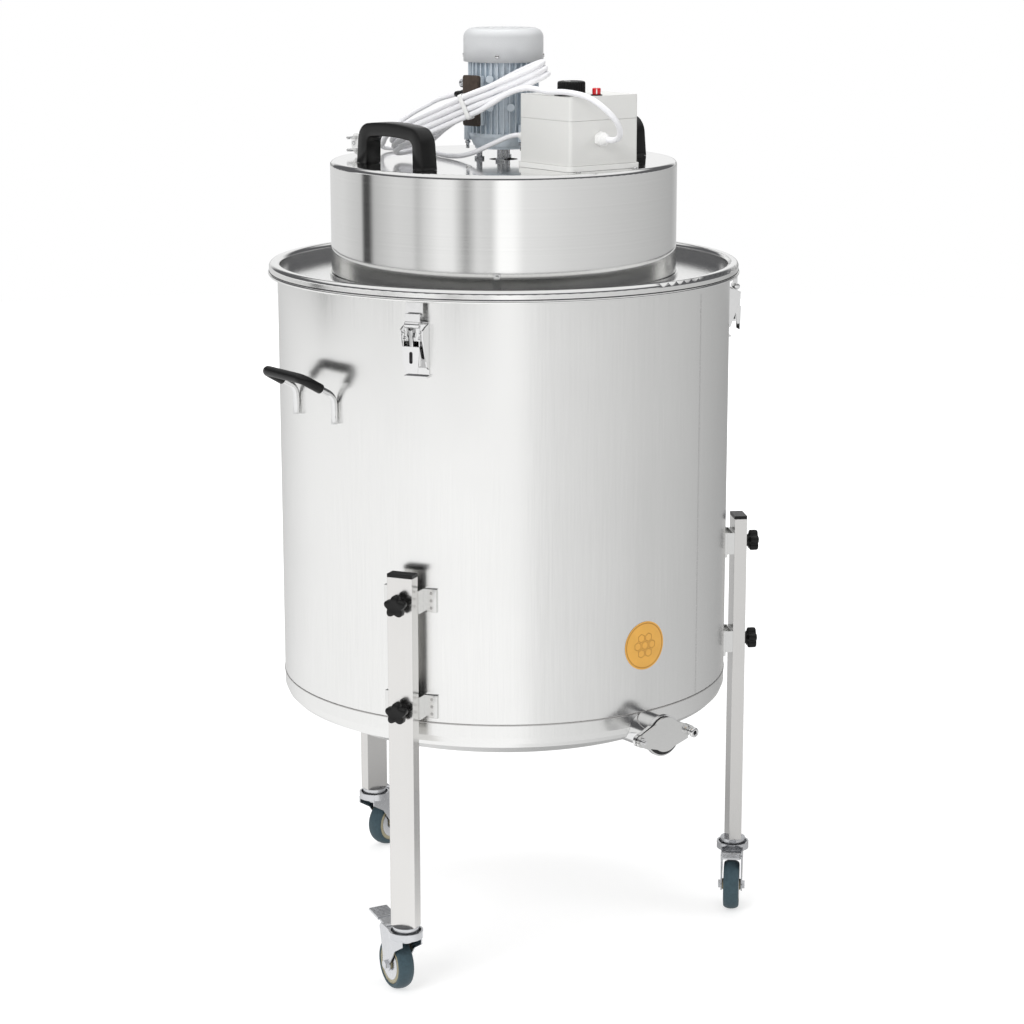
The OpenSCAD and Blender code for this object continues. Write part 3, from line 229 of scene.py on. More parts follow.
def surface(name, color, rough, metal=0.0, noise=60, spread=0.08, stretch=(1, 1, 1), rough_spread=0.05,
            bump=0.05, bump_noise=None, bump_size=0.0002, edge=0.0, coat=0.0, aniso=0.0, spec=0.5,
            polar=False, stain=0.0):
    """A procedural surface: colour, roughness and height follow noise in the object's own frame."""
    m = bpy.data.materials.new(name)
    m.use_nodes = True
    nt = m.node_tree
    bsdf = nt.nodes["Principled BSDF"]
    for key, value in (("Metallic", metal), ("Specular IOR Level", spec), ("Coat Weight", coat),
                       ("Coat Roughness", 0.1), ("Anisotropic", aniso), ("IOR", 1.45)):
        bsdf.inputs[key].default_value = value
    tc = node(nt, "ShaderNodeTexCoord")
    source = tc.outputs["Object"]
    if polar:
        # Noise that depends on the distance from the Z axis and on the height
        sep = node(nt, "ShaderNodeSeparateXYZ")
        nt.links.new(source, sep.inputs[0])
        flat = node(nt, "ShaderNodeCombineXYZ")
        nt.links.new(sep.outputs[0], flat.inputs[0])
        nt.links.new(sep.outputs[1], flat.inputs[1])
        ln = node(nt, "ShaderNodeVectorMath", operation="LENGTH")
        nt.links.new(flat.outputs[0], ln.inputs[0])
        back = node(nt, "ShaderNodeCombineXYZ")
        nt.links.new(ln.outputs["Value"], back.inputs[0])
        nt.links.new(sep.outputs[2], back.inputs[2])
        source = back.outputs[0]
    mp = node(nt, "ShaderNodeMapping")
    mp.inputs["Scale"].default_value = stretch
    nt.links.new(source, mp.inputs["Vector"])
    grain = noise_of(nt, mp.outputs[0], noise, 6.0, 0.6)
    darker = [c * (1 - spread) for c in color]
    lighter = [min(1, c * (1 + spread)) for c in color]
    shade = ramp(nt, grain, [(0.3, darker), (0.7, lighter)])
    if stain > 0:
        patches = noise_of(nt, tc.outputs["Object"], 5.0, 3.0, 0.5)
        stains = ramp(nt, patches, [(0.35, 1 - stain), (0.65, 1.0)])
        shade = mixed(nt, 1.0, shade, stains, blend_type="MULTIPLY")
    nt.links.new(shade, bsdf.inputs["Base Color"])
    gloss = ramp(nt, grain, [(0.3, max(0.02, rough - rough_spread)), (0.7, min(1, rough + rough_spread))])
    nt.links.new(gloss, bsdf.inputs["Roughness"])
    bp = node(nt, "ShaderNodeBump", Strength=bump, Distance=bump_size)
    height = noise_of(nt, mp.outputs[0], bump_noise, 3.0, 0.5) if bump_noise else grain
    nt.links.new(height, bp.inputs["Height"])
    if edge > 0:
        bv = nt.nodes.new("ShaderNodeBevel")
        bv.samples = 4
        bv.inputs["Radius"].default_value = edge * MM
        nt.links.new(bv.outputs[0], bp.inputs["Normal"])
    nt.links.new(bp.outputs[0], bsdf.inputs["Normal"])
    if aniso > 0:
        tg = node(nt, "ShaderNodeTangent", direction_type="RADIAL", axis="Z")
        nt.links.new(tg.outputs[0], bsdf.inputs["Tangent"])
    return m


satin = surface("satin_steel", (0.86, 0.86, 0.85), 0.22, 1.0, noise=500, spread=0.025,
                stretch=(1, 1, 0.02), rough_spread=0.04, bump=0.04, aniso=0.6, stain=0.03)
spun = surface("spun_steel", (0.87, 0.87, 0.86), 0.13, 1.0, noise=420, spread=0.02, polar=True,
               rough_spread=0.03, bump=0.03, aniso=0.35, stain=0.03)
polish = surface("polished_steel", (0.88, 0.88, 0.87), 0.09, 1.0, noise=300, spread=0.02, polar=True,
                 rough_spread=0.02, bump=0.35, bump_noise=7, bump_size=0.0012, aniso=0.3, stain=0.02)
tube_steel = surface("tube_steel", (0.76, 0.75, 0.735), 0.20, 1.0, noise=300, spread=0.012,
                     stretch=(1, 1, 0.02), rough_spread=0.02, bump=0.012, edge=1.2, stain=0.03)
sheet_steel = surface("sheet_steel", (0.78, 0.78, 0.77), 0.20, 1.0, noise=250, spread=0.02,
                      rough_spread=0.03, bump=0.03, edge=0.5, stain=0.03)
chrome = surface("bright_rod", (0.78, 0.78, 0.78), 0.08, 1.0, noise=150, spread=0.03, bump=0.04, edge=0.5)
zinc = surface("zinc_plate", (0.66, 0.67, 0.69), 0.24, 1.0, noise=180, spread=0.04, bump=0.06, edge=0.8,
               stain=0.05)
cast = surface("cast_aluminium", (0.70, 0.77, 0.83), 0.40, 0.45, noise=90, rough_spread=0.08, bump=0.25,
               bump_size=0.0004, edge=0.8, stain=0.06)
cowl_paint = surface("cowl_paint", (0.66, 0.67, 0.68), 0.42, 0.15, noise=900, spread=0.04, bump=0.08,
                     edge=0.8, stain=0.03)
black = surface("black_plastic", (0.009, 0.009, 0.009), 0.34, noise=900, spread=0.25, rough_spread=0.08,
                bump=0.20, bump_size=0.0003, edge=1.0, spec=0.32)
rubber = surface("black_rubber", (0.024, 0.024, 0.025), 0.62, noise=500, spread=0.25, rough_spread=0.08,
                 bump=0.25, bump_size=0.0003, edge=0.6)
box_grey = surface("box_plastic", (0.74, 0.74, 0.72), 0.48, noise=1200, spread=0.02, bump=0.12, edge=1.2)
tray_white = surface("tray_enamel", (0.86, 0.86, 0.84), 0.38, noise=500, spread=0.02, bump=0.06, edge=0.6)
pvc = surface("white_cord", (0.88, 0.88, 0.90), 0.36, noise=220, spread=0.03, rough_spread=0.06, bump=0.10)
pvc_part = surface("white_moulding", (0.85, 0.85, 0.84), 0.40, noise=400, spread=0.03, bump=0.10, edge=0.5)
brown = surface("brown_casting", (0.060, 0.044, 0.034), 0.45, noise=160, spread=0.25, rough_spread=0.08,
                bump=0.2)
red = surface("red_button", (0.62, 0.015, 0.02), 0.28, noise=300, bump=0.05, coat=0.3)
white_mark = surface("white_mark", (0.85, 0.85, 0.85), 0.4, noise=200, spread=0.03, bump=0.03)
tyre = surface("tyre_rubber", (0.055, 0.095, 0.115), 0.55, noise=260, spread=0.18, rough_spread=0.08,
               bump=0.25, bump_size=0.0003, stain=0.15)
core = surface("tan_nylon", (0.42, 0.38, 0.25), 0.42, noise=200, bump=0.08, edge=0.4)
amber = surface("amber_label", (0.80, 0.42, 0.07), 0.35, noise=40, spread=0.06, bump=0.03, coat=0.4)
amber_dark = surface("amber_ink", (0.42, 0.17, 0.02), 0.40, noise=200, spread=0.10, bump=0.03, coat=0.3)
fine_weld = surface("fine_weld", (0.74, 0.74, 0.73), 0.26, 1.0, noise=700, spread=0.04, bump=0.1)
weld = surface("weld_bead", (0.55, 0.54, 0.53), 0.35, 1.0, noise=700, spread=0.15, rough_spread=0.1,
               bump=0.3, bump_size=0.0004)


def paint(mat, *names):
    for n in names:
        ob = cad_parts[n]
        if not ob.material_slots:
            ob.data.materials.append(mat)
        for s in ob.material_slots:
            s.material = mat


paint(satin, "tank_wall", "bottom_pan")
paint(spun, "cover_ring")
paint(polish, "hood")
paint(tube_steel, "legs")
paint(sheet_steel, "leg_brackets", "bearing_spider", "drum")
paint(chrome, "hood_clips", "gate_body", "drum_shaft", "latch_bases", "latch_catches")
paint(chrome, *["latch_%s_%s" % (k, s) for k in ("lever", "hook") for s, a in LEGS])
paint(zinc, "castor_stems", "lower_bearing", "motor_pillars", "motor_shaft")
paint(zinc, *[k + s for k in ("castor_fork_", "brake_pedal_") for s, a in LEGS])
paint(black, "leg_caps", "motor_fan")
paint(rubber, "gate_gasket")
paint(cast, "motor_body")
paint(box_grey, "box_base", "box_lid")
paint(tray_white, "box_tray")


# Mesh helpers: millimetres in, metres out
def add(name, verts, faces, mat, body, flat=False, bevel=0.0, matrix=None):
    me = bpy.data.meshes.new(name)
    mtx = matrix or Matrix.Identity(4)
    me.from_pydata([tuple((mtx @ vec(v)) * MM) for v in verts], [], faces)
    me.materials.append(mat)
    ob = bpy.data.objects.new(name, me)
    scene.collection.objects.link(ob)
    bm = bmesh.new()
    bm.from_mesh(me)
    bmesh.ops.recalc_face_normals(bm, faces=bm.faces)
    bm.to_mesh(me)
    bm.free()
    for p in me.polygons:
        p.use_smooth = not flat
    if bevel > 0:
        b = ob.modifiers.new("bevel", "BEVEL")
        b.width = bevel * MM
        b.segments = 2
        b.limit_method = "ANGLE"
        b.angle_limit = math.radians(35)
    if not flat:
        bpy.context.view_layer.objects.active = ob
        ob.select_set(True)
        bpy.ops.object.shade_auto_smooth(angle=math.radians(38))
        ob.select_set(False)
    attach(ob, body)
    return ob


def basis(origin, z_way, x_way=(0, 0, 1)):
    """Matrix whose local Z runs along z_way, from origin."""
    z = vec(z_way).normalized()
    x = vec(x_way)
    x = x - z * x.dot(z)
    if x.length < 1e-6:
        x = Vector((1, 0, 0)) - z * z.x
    x.normalize()
    y = z.cross(x)
    return Matrix(((x.x, y.x, z.x, origin[0]), (x.y, y.y, z.y, origin[1]), (x.z, y.z, z.z, origin[2]),
                   (0, 0, 0, 1)))


def lathe(profile, n=48, closed=True, shape=None):
    """Turned solid from (r, z) points; shape(angle, r, z) may change a radius."""
    verts, faces = [], []
    m = len(profile)
    for k in range(n):
        a = 2 * math.pi * k / n
        for r, z in profile:
            q = shape(a, r, z) if shape else r
            verts.append((q * math.cos(a), q * math.sin(a), z))
    for k in range(n):
        j = (k + 1) % n
        for i in range(m - 1):
            faces.append((k * m + i, j * m + i, j * m + i + 1, k * m + i + 1))
    if closed:
        faces.append(tuple(k * m for k in range(n))[::-1])
        faces.append(tuple(k * m + m - 1 for k in range(n)))
    return verts, faces


def extrude(outline, z0, z1):
    n = len(outline)
    verts = [(x, y, z0) for x, y in outline] + [(x, y, z1) for x, y in outline]
    faces = [tuple(range(n))[::-1], tuple(range(n, 2 * n))]
    faces += [(i, (i + 1) % n, n + (i + 1) % n, n + i) for i in range(n)]
    return verts, faces


def hexagon(r, z0, z1):
    return extrude([(r * math.cos(math.radians(60 * k)), r * math.sin(math.radians(60 * k)))
                    for k in range(6)], z0, z1)


def join(*parts):
    verts, faces = [], []
    for v, f in parts:
        k = len(verts)
        verts += [tuple(q) for q in v]
        faces += [tuple(i + k for i in g) for g in f]
    return verts, faces


def moved(part, matrix):
    return [tuple(matrix @ vec(v)) for v in part[0]], part[1]


def block(x0, x1, y0, y1, z0, z1):
    return extrude([(x0, y0), (x1, y0), (x1, y1), (x0, y1)], z0, z1)


def rounded(w, h, r, n=6, cx=0.0, cy=0.0):
    pts = []
    for sx, sy, a0 in ((1, 1, 0), (-1, 1, 90), (-1, -1, 180), (1, -1, 270)):
        for k in range(n + 1):
            a = math.radians(a0 + 90 * k / n)
            pts.append((cx + sx * (w / 2 - r) + r * math.cos(a), cy + sy * (h / 2 - r) + r * math.sin(a)))
    return pts


def bent(p, cut, n=10):
    """Points of a rod whose corners are rounded off over a length of cut."""
    p = [vec(q) for q in p]
    out = [p[0]]
    for a, b, c in zip(p, p[1:], p[2:]):
        u, w = b + (a - b).normalized() * cut, b + (c - b).normalized() * cut
        out += [(1 - t) ** 2 * u + 2 * t * (1 - t) * b + t * t * w for t in (k / n for k in range(n + 1))]
    return out + [p[-1]]


def sweep(pts, r, n=24, ends=0.0):
    """Round rod of radius r along points, with its ends rounded over a length of ends."""
    pts = [vec(q) for q in pts]
    radii = [r] * len(pts)
    if ends > 0:
        a, b = (pts[1] - pts[0]).normalized(), (pts[-1] - pts[-2]).normalized()
        steps = (0.12, 0.4, 1.0)
        pts = ([pts[0]] + [pts[0] + a * ends * k for k in steps] + pts[1:-1]
               + [pts[-1] - b * ends * k for k in steps[::-1]] + [pts[-1]])
        edge = [r - ends, r - ends * 0.52, r - ends * 0.2, r]
        radii = edge + [r] * (len(pts) - 8) + edge[::-1]
    verts, side, last = [], None, len(pts) - 1
    for i, q in enumerate(pts):
        d = (pts[min(i + 1, last)] - pts[max(i - 1, 0)]).normalized()
        side = d.orthogonal() if side is None else side - d * side.dot(d)
        side.normalize()
        up = d.cross(side)
        for k in range(n):
            b = 2 * math.pi * k / n
            verts.append(tuple(q + (side * math.cos(b) + up * math.sin(b)) * radii[i]))
    faces = [tuple(range(n))[::-1], tuple(last * n + k for k in range(n))]
    for i in range(last):
        j = i + 1
        faces += [(i * n + k, i * n + (k + 1) % n, j * n + (k + 1) % n, j * n + k) for k in range(n)]
    return verts, faces


def cord_curve(name, pts, d, mat, body):
    cu = bpy.data.curves.new(name, "CURVE")
    cu.dimensions = "3D"
    sp = cu.splines.new("POLY")
    sp.points.add(len(pts) - 1)
    for q, p in zip(sp.points, pts):
        q.co = (p[0] * MM, p[1] * MM, p[2] * MM, 1)
    cu.bevel_depth = d / 2 * MM
    cu.bevel_resolution = 5
    cu.use_fill_caps = True
    cu.materials.append(mat)
    ob = bpy.data.objects.new(name, cu)
    scene.collection.objects.link(ob)
    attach(ob, body)
    return ob


# Cords, tie and plug
HOOD = "hood_unit"
mains = cord_curve("mains_cord_line", mains_route, CORD_D, pvc, HOOD)
lead = cord_curve("motor_lead_line", lead_route, LEAD_D, pvc, HOOD)
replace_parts(mains, "mains_cord", "cord_hank")
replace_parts(lead, "motor_lead")

# Tie: a moulded band with a rounded section round the waist
BAND = 0.6
tie_o, tie_w, tie_n, tie_u = line_at(0.5), line_w(0.5), line_n(0.5), line_u(0.5)
low, high = -CORD_D / 2 - BAND, STEP * (RUNS - 1) / 2 + CORD_D / 2 + BAND
ring = rounded(2 * (WAIST + CORD_D / 2 + BAND), high - low, 3.4, 5, 0, (low + high) / 2)
section = [(0.0, -3.6), (0.9, -3.2), (1.15, -1.5), (1.15, 1.5), (0.9, 3.2), (0.0, 3.6)]
verts, faces, m = [], [], len(section)
for i, (x, y) in enumerate(ring):
    a, b = ring[i - 1], ring[(i + 1) % len(ring)]
    out = Vector((b[1] - a[1], -(b[0] - a[0]))).normalized()
    for grow, along in section:
        verts.append(tuple(tie_o + tie_w * (x + out.x * grow) + tie_n * (y + out.y * grow) + tie_u * along))
    j = (i + 1) % len(ring)
    faces += [(i * m + k, j * m + k, j * m + (k + 1) % m, i * m + (k + 1) % m) for k in range(m)]
tie = add("hank_tie_band", verts, faces, pvc_part, HOOD)
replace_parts(tie, "hank_tie")

# Plug: a ribbed boot at the side of a round body, two pins and an earth socket in its face
boot = [(4.6, 0)]
for k in range(6):
    z = 0.3 + k * 3.0
    r = 5.4 + k * 0.6
    boot += [(r - 0.7, z), (r, z + 0.4), (r, z + 2.0), (r - 0.6, z + 2.4)]
boot += [(8.6, 18.6), (8.9, 22)]
shell = [(0.3, 0.3), (14.6, 0.3), (15.6, 0), (16.9, 0.6), (17.8, 2), (18, 3.4), (18, 20), (17.6, 22),
         (16.4, 23.4), (14.5, 24)]
face = basis(PLUG_AT + Vector((-9.5, 35, 0)), (1, 0, 0))
plug_parts = (moved(lathe(boot, 40), basis(PLUG_AT, (0, 1, 0))), moved(lathe(shell, 72), face))
plug = add("plug_body", *join(*plug_parts), pvc_part, HOOD)
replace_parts(plug, "mains_plug")
pin = lathe([(2.4, 1), (2.4, -16.6), (2.1, -18.1), (1.2, -19)], 20)
pins = [moved(pin, face @ shift(x, 0, 0)) for x in (-9.5, 9.5)]
plug_pins = add("plug_pins", *join(*pins), chrome, HOOD)
socket = lathe([(2.5, -0.35), (3.4, -0.35), (3.4, -0.1), (2.5, -0.1), (2.5, -0.35)], 28, False)
add("plug_socket", *moved(socket, face @ shift(0, -9, 0)), zinc, HOOD)


# Glands on the box: nut, dome and a ribbed boot
def gland_mesh(r, tip, bore):
    nut = hexagon(r * 1.15, 0.2, 5.2)
    body = lathe([(r * 0.96, 5.0), (r, 6), (r, 10.2), (r * 0.93, 11.4), (r * 0.8, 12.2)], 40)
    ribs, n = [], 4
    for k in range(n):
        z = 12 + (tip - 12) * k / n
        q = r * 0.8 + (bore + 1.0 - r * 0.8) * k / n
        ribs += [(q, z), (q, z + (tip - 12) / n * 0.7), (q - 0.5, z + (tip - 12) / n * 0.85)]
    return join(nut, body, lathe(ribs + [(bore + 0.3, tip)], 40))


pair = (moved(gland_mesh(10, 19, CORD_D / 2), basis((0, -235.1, 1271), (0, -1, 0))),
        moved(gland_mesh(8, 17, LEAD_D / 2), basis((-40, -112.9, 1269), (0, 1, 0))))
glands = add("cord_glands", *join(*pair), pvc_part, HOOD, bevel=0.4)
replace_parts(glands, "box_glands")


# Hood handles: the top drops by ARCH towards the ends, in full from ARCH_Z up
HANDLE_L, HANDLE_H, HANDLE_X, HANDLE_FOOT, HANDLE_BAR = 173.0, 64.4, 200, 27, 20.5
ARCH, ARCH_Z = 7.5, 45


def quarter(cx, cy, r, sx, n):
    """Quarter circle from the side to the top for sx 1, and from the top to the side for sx -1."""
    arc = [math.radians(90 * k / n) for k in range(n + 1)]
    if sx > 0:
        return [(cx + r * math.cos(a), cy + r * math.sin(a)) for a in arc]
    return [(cx - r * math.sin(a), cy + r * math.cos(a)) for a in arc]


def handle_outline():
    x, r = HANDLE_L / 2, 24
    cx, cy = x - 3 - r, HANDLE_H - r
    top = [(-q, HANDLE_H) for q in range(-48, 49, 12)]
    outer = ([(x, 0), (x, 8)] + quarter(cx, cy, r, 1, 8) + top + quarter(-cx, cy, r, -1, 8)
             + [(-x, 8), (-x, 0)])
    w, h, r = x - HANDLE_FOOT, HANDLE_H - HANDLE_BAR, 10
    inner = quarter(r - w, h - r, r, -1, 6)[::-1]
    inner += [(q, h) for q in range(-36, 37, 12)]
    inner += quarter(w - r, h - r, r, 1, 6)[::-1]
    return outer + [(-w - 1, 0)] + inner + [(w + 1, 0)]


def handle_solid():
    """The outline in layers across the handle, drawn in towards both sides to round its edges."""
    outline = handle_outline()
    bm = bmesh.new()
    vs = [bm.verts.new((x, y, 0)) for x, y in outline]
    face = bm.faces.new(vs)
    bmesh.ops.triangulate(bm, faces=[face])
    bm.verts.index_update()
    tri = [[v.index for v in f.verts] for f in bm.faces]
    bm.free()
    n = len(outline)
    layers = [(-13.6, -2.2), (-13.0, -0.8), (-11.2, 0), (11.2, 0), (13.0, -0.8), (13.6, -2.2)]
    verts, faces = [], []
    for z, grow in layers:
        for i, (x, y) in enumerate(outline):
            a, b = outline[i - 1], outline[(i + 1) % n]
            d = Vector((b[1] - a[1], -(b[0] - a[0])))
            d = d.normalized() if d.length > 0 else Vector((0, 0))
            yy = y if y < 0.01 else y + d.y * grow
            arch = ARCH * (2 * x / HANDLE_L) ** 2 * min(1, max(0, yy / ARCH_Z))
            verts.append((x + d.x * grow, max(0, yy - arch), z))
    for k in range(len(layers) - 1):
        for i in range(n):
            j = (i + 1) % n
            faces.append((k * n + i, k * n + j, (k + 1) * n + j, (k + 1) * n + i))
    faces += [tuple(t)[::-1] for t in tri]
    faces += [tuple(i + (len(layers) - 1) * n for i in t) for t in tri]
    return verts, faces


handles = []
for s in (-1, 1):
    m = Matrix(((0, 0, 1, s * HANDLE_X), (1, 0, 0, 0), (0, 1, 0, Z_HOOD + 0.35), (0, 0, 0, 1)))
    handles.append(moved(handle_solid(), m))
grip = add("hood_handle_mouldings", *join(*handles), black, HOOD)
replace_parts(grip, "hood_handles")
# Screw heads beside the handles' feet and on the hood's top
head = lathe([(4.0, 0), (4.0, 0.91), (3.28, 1.95), (1.8, 2.522), (0.05, 2.6)], 24)
places = ((-120, -74), (-42, -101), (-46, -243), (60, -243), (64, -101))
heads = [moved(head, shift(x, y, Z_HOOD + 0.1)) for x, y in places]
add("hood_top_screws", *join(*heads), chrome, HOOD)

# Motor: cowl with three rings of vents, its screws and the terminal box
COWL_Z, COWL_H, COWL_R, EDGE, COWL_WALL, COWL_N = 1374.0, 50.0, 61.0, 14.0, 1.6, 96
VENTS = ((42, 38), (30, 26), (18, 14))
outer = [(COWL_R, 0), (COWL_R, COWL_H - EDGE)]
outer += quarter(COWL_R - EDGE, COWL_H - EDGE, EDGE, 1, 8)[1:]
outer += [(r, COWL_H) for vent in VENTS for r in vent] + [(0.5, COWL_H)]
verts, faces = [], []
m = len(outer)
for k in range(COWL_N):
    a = 2 * math.pi * k / COWL_N
    verts += [(r * math.cos(a), r * math.sin(a), z) for r, z in outer]
for k in range(COWL_N):
    j = (k + 1) % COWL_N
    for i in range(m - 1):
        hole = (outer[i][0], outer[i + 1][0]) in VENTS and k % 8 > 1
        if not hole:
            faces.append((k * m + i, j * m + i, j * m + i + 1, k * m + i + 1))
faces.append(tuple(k * m + m - 1 for k in range(COWL_N)))
cowl = add("fan_cowl_shell", verts, faces, cowl_paint, HOOD, matrix=shift(0, 0, COWL_Z))
sol = cowl.modifiers.new("wall", "SOLIDIFY")
sol.thickness = COWL_WALL * MM
sol.offset = -1
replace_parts(cowl, "motor_cowl")

screws = []
head = lathe([(3.4, -0.5), (3.4, 1.0), (2.6, 1.9), (1.2, 2.2), (0.05, 2.2)], 20)
slot = block(-2.6, 2.6, -0.4, 0.4, 1.9, 2.35)
for a in (-46, 44, 134, 224):
    at = basis(turned((0, -COWL_R + 0.4, COWL_Z + 9), a), turned((0, -1, 0), a))
    screws += [moved(head, at), moved(slot, at)]
add("cowl_screws", *join(*screws), chrome, HOOD)


def slab(w, h, r, thick, y):
    """Rounded slab on the terminal box's side of the motor, with its back at y."""
    at = z_turn(TERMINAL_A) @ basis((-3.5, y, 1317), (0, -1, 0), (1, 0, 0))
    return moved(extrude(rounded(w, h, r), 0, thick), at)


def on_terminal(z, *pieces):
    at = z_turn(TERMINAL_A) @ basis((-20.1, -59, z), (-1, 0, 0))
    return join(*[moved(p, at) for p in pieces])


add("terminal_base", *slab(32.8, 75, 3, 9.5, -54.3), cast, HOOD, bevel=0.9)
case = join(slab(33, 76, 3.5, 5.0, -64.0), slab(31.6, 74.6, 3.5, 1.0, -69.0))
terminal = add("terminal_case", *case, brown, HOOD, bevel=0.9)
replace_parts(terminal, "terminal_box")
sleeve = lathe([(7, 4.8), (7, 10.4), (6.2, 11.4), (5.4, 12), (5.6, 13.5), (5.2, 15), (5.4, 16.5), (5.0, 18),
                (5.1, 19.5), (4.6, 21), (4.2, 23.9)], 32)
add("terminal_gland", *on_terminal(1325, hexagon(8, 0, 5), sleeve), black, HOOD, bevel=0.3)
stopper = lathe([(6.3, 5.8), (6.5, 7), (6.5, 11), (5.6, 12), (0.3, 12.1)], 32)
add("terminal_plug", *on_terminal(1342, hexagon(7.5, 0, 6), stopper), zinc, HOOD, bevel=0.3)

# Lug bolts under the end shield
bolts = []
for a in (-127, -7, 113):
    at = shift(*turned((0, -55, 1242), a))
    bolts.append(moved(lathe([(2.6, 0), (2.6, 13)], 16), at))
    bolts.append(moved(hexagon(4.6, 0, 3.4), at @ shift(0, 0, 8)))
add("lug_bolts", *join(*bolts), zinc, HOOD, bevel=0.3)

# Control box: dial, button and lid screws
DIAL_AT, BUTTON_AT = shift(-24, -198, LID), shift(4, -222, LID)


def dial_shape(a, r, z):
    """Shallow flutes round the side of the dial."""
    flutes, depth = 30, 0.9
    if r < 19.5 or z > 20.0:
        return r
    return r - depth * (0.5 + 0.5 * math.cos(flutes * a)) ** 3


dial_profile = [(19.0, 0.5), (21.3, 0.9), (21.3, 2.2), (20.6, 2.8), (20.6, 17.5), (20.2, 19.4), (19.0, 20.6),
                (17.2, 21.0), (16.4, 20.3), (0.4, 20.0)]
dial = add("dial_knob_moulding", *lathe(dial_profile, 240, True, dial_shape), black, "dial", matrix=DIAL_AT)
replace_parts(dial, "dial_knob")
pointer = extrude(rounded(1.4, 15, 0.6, 3, 0, 9), 20.2, 20.75)
add("dial_pointer", *moved(pointer, DIAL_AT), white_mark, "dial")
plate = lathe([(25.2, 0.05), (25.2, 0.7), (24.9, 0.9), (0.4, 0.9)], 72)
add("dial_plate", *moved(plate, DIAL_AT), black, HOOD)
tick = block(22.3, 24.4, -0.25, 0.25, 0.85, 0.98)
ticks = [moved(tick, DIAL_AT @ z_turn(225 - 27 * k)) for k in range(11)]
add("dial_ticks", *join(*ticks), white_mark, HOOD, flat=True)
cap = lathe([(6.3, -2.9), (6.3, 9.2), (6.0, 10.3), (5.2, 10.9), (0.3, 11.0)], 36)
button = add("button_cap", *moved(cap, BUTTON_AT), red, "button")
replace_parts(button, "push_button")
mark = join(block(6.0, 6.45, -0.8, 0.8, 2.5, 9.3), block(-4.5, 5.6, -0.8, 0.8, 10.6, 11.0))
add("button_mark", *moved(mark, BUTTON_AT @ z_turn(-126.8)), white_mark, "button", bevel=0.15)
collar = lathe([(6.9, 0.05), (8.6, 0.05), (8.6, 1.0), (8.2, 1.6), (6.9, 1.6), (6.9, 0.05)], 40, False)
add("button_collar", *moved(collar, BUTTON_AT), black, HOOD)
# Lid screws, each as far in from two edges of the box
BOX_X, BOX_Y, SCREW_IN = (-55, 73), (-235, -113), 9
head = lathe([(3.6, 0.02), (3.6, 0.35), (3.2, 0.6), (0.3, 0.6)], 24)
heads = [moved(head, shift(x, y, LID)) for x in (BOX_X[0] + SCREW_IN, BOX_X[1] - SCREW_IN)
         for y in (BOX_Y[0] + SCREW_IN, BOX_Y[1] - SCREW_IN)]
add("lid_screw_heads", *join(*heads), pvc_part, HOOD)

# Star knobs, with radii as a share of the knob's
KNOB_R, KNOB_Y = 34, -388.3
knob_profile = [(0.27, 0.6), (0.27, 5.2), (0.34, 6.4), (0.46, 7.2), (0.5, 8.6), (0.5, 18.0), (0.48, 19.8),
                (0.44, 20.8), (0.26, 21.2), (0.22, 20.7), (0.01, 20.6)]


def star_shape(a, r, z):
    """Five lobes on everything outside the hub."""
    if r < 0.3 * KNOB_R:
        return r
    lobe = (0.5 + 0.5 * math.cos(5 * a)) ** 0.75
    return r * (0.70 + 0.30 * lobe)


solid = lathe([(r * KNOB_R, h) for r, h in knob_profile], 90, True, star_shape)
for name, a in LEGS:
    for level, z in KNOB_LEVELS:
        at = basis(turned((0, KNOB_Y, z), a), turned((0, -1, 0), a))
        star = "star_%s_%s" % (name, level)
        knob = add(star + "_moulding", *moved(solid, at), black, star)
        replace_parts(knob, "star_knob_%s_%s" % (name, level))

# Castors: tyre, core, cover discs and the tread on the pedal
SWIVEL = {"left": 171.5, "right": -43.5, "rear": 103}
STEM_Y, TRAIL, AXLE_Z = -378, 33, 40
SEAT_R, ROUND_R, FLANK = 31.2, 5.8, 0.75
TREAD_R = AXLE_Z - ROUND_R
PEDAL_TIP, PEDAL_TOP, PITCH = 97, 108, 4.2
tyre_line = [(SEAT_R, -12.3)]
for k in range(13):
    b = math.radians(15 * k - 90)
    w = math.sin(b)
    # Round over the tread, then an even slope down the flank
    z = 12.5 * w if abs(w) < FLANK else math.copysign(9.4 + 3.1 * (abs(w) - FLANK) / (1 - FLANK), b)
    tyre_line.append((TREAD_R + ROUND_R * math.cos(b), z))
tyre_line += [(SEAT_R, 12.3), tyre_line[0]]
half = [(4.1, 15.1), (8.8, 15.1), (9.0, 11.8), (19, 9.5), (23, 9.8), (25, 11.6), (31.1, 11.9)]
core_line = [(r, -z) for r, z in half] + half[::-1] + [(4.1, -15.1)]
wheel, wheel_core = lathe(tyre_line, 96, False), lathe(core_line, 72, False)
covers = join(*[lathe([(9.2, s * 12.4), (21, s * 12.9), (24.5, s * 12.2), (24.9, s * 11.9)], 60, False)
                for s in (-1, 1)])
ribs = []
for k in range(7):
    y = PITCH * k - PEDAL_TIP + 1.5
    z = PEDAL_TOP - (PEDAL_TIP + y) / 8
    ribs.append(block(-13.6, 13.6, y - 0.9, y + 0.9, z - 0.3, z + 0.7))
tread = join(*ribs)
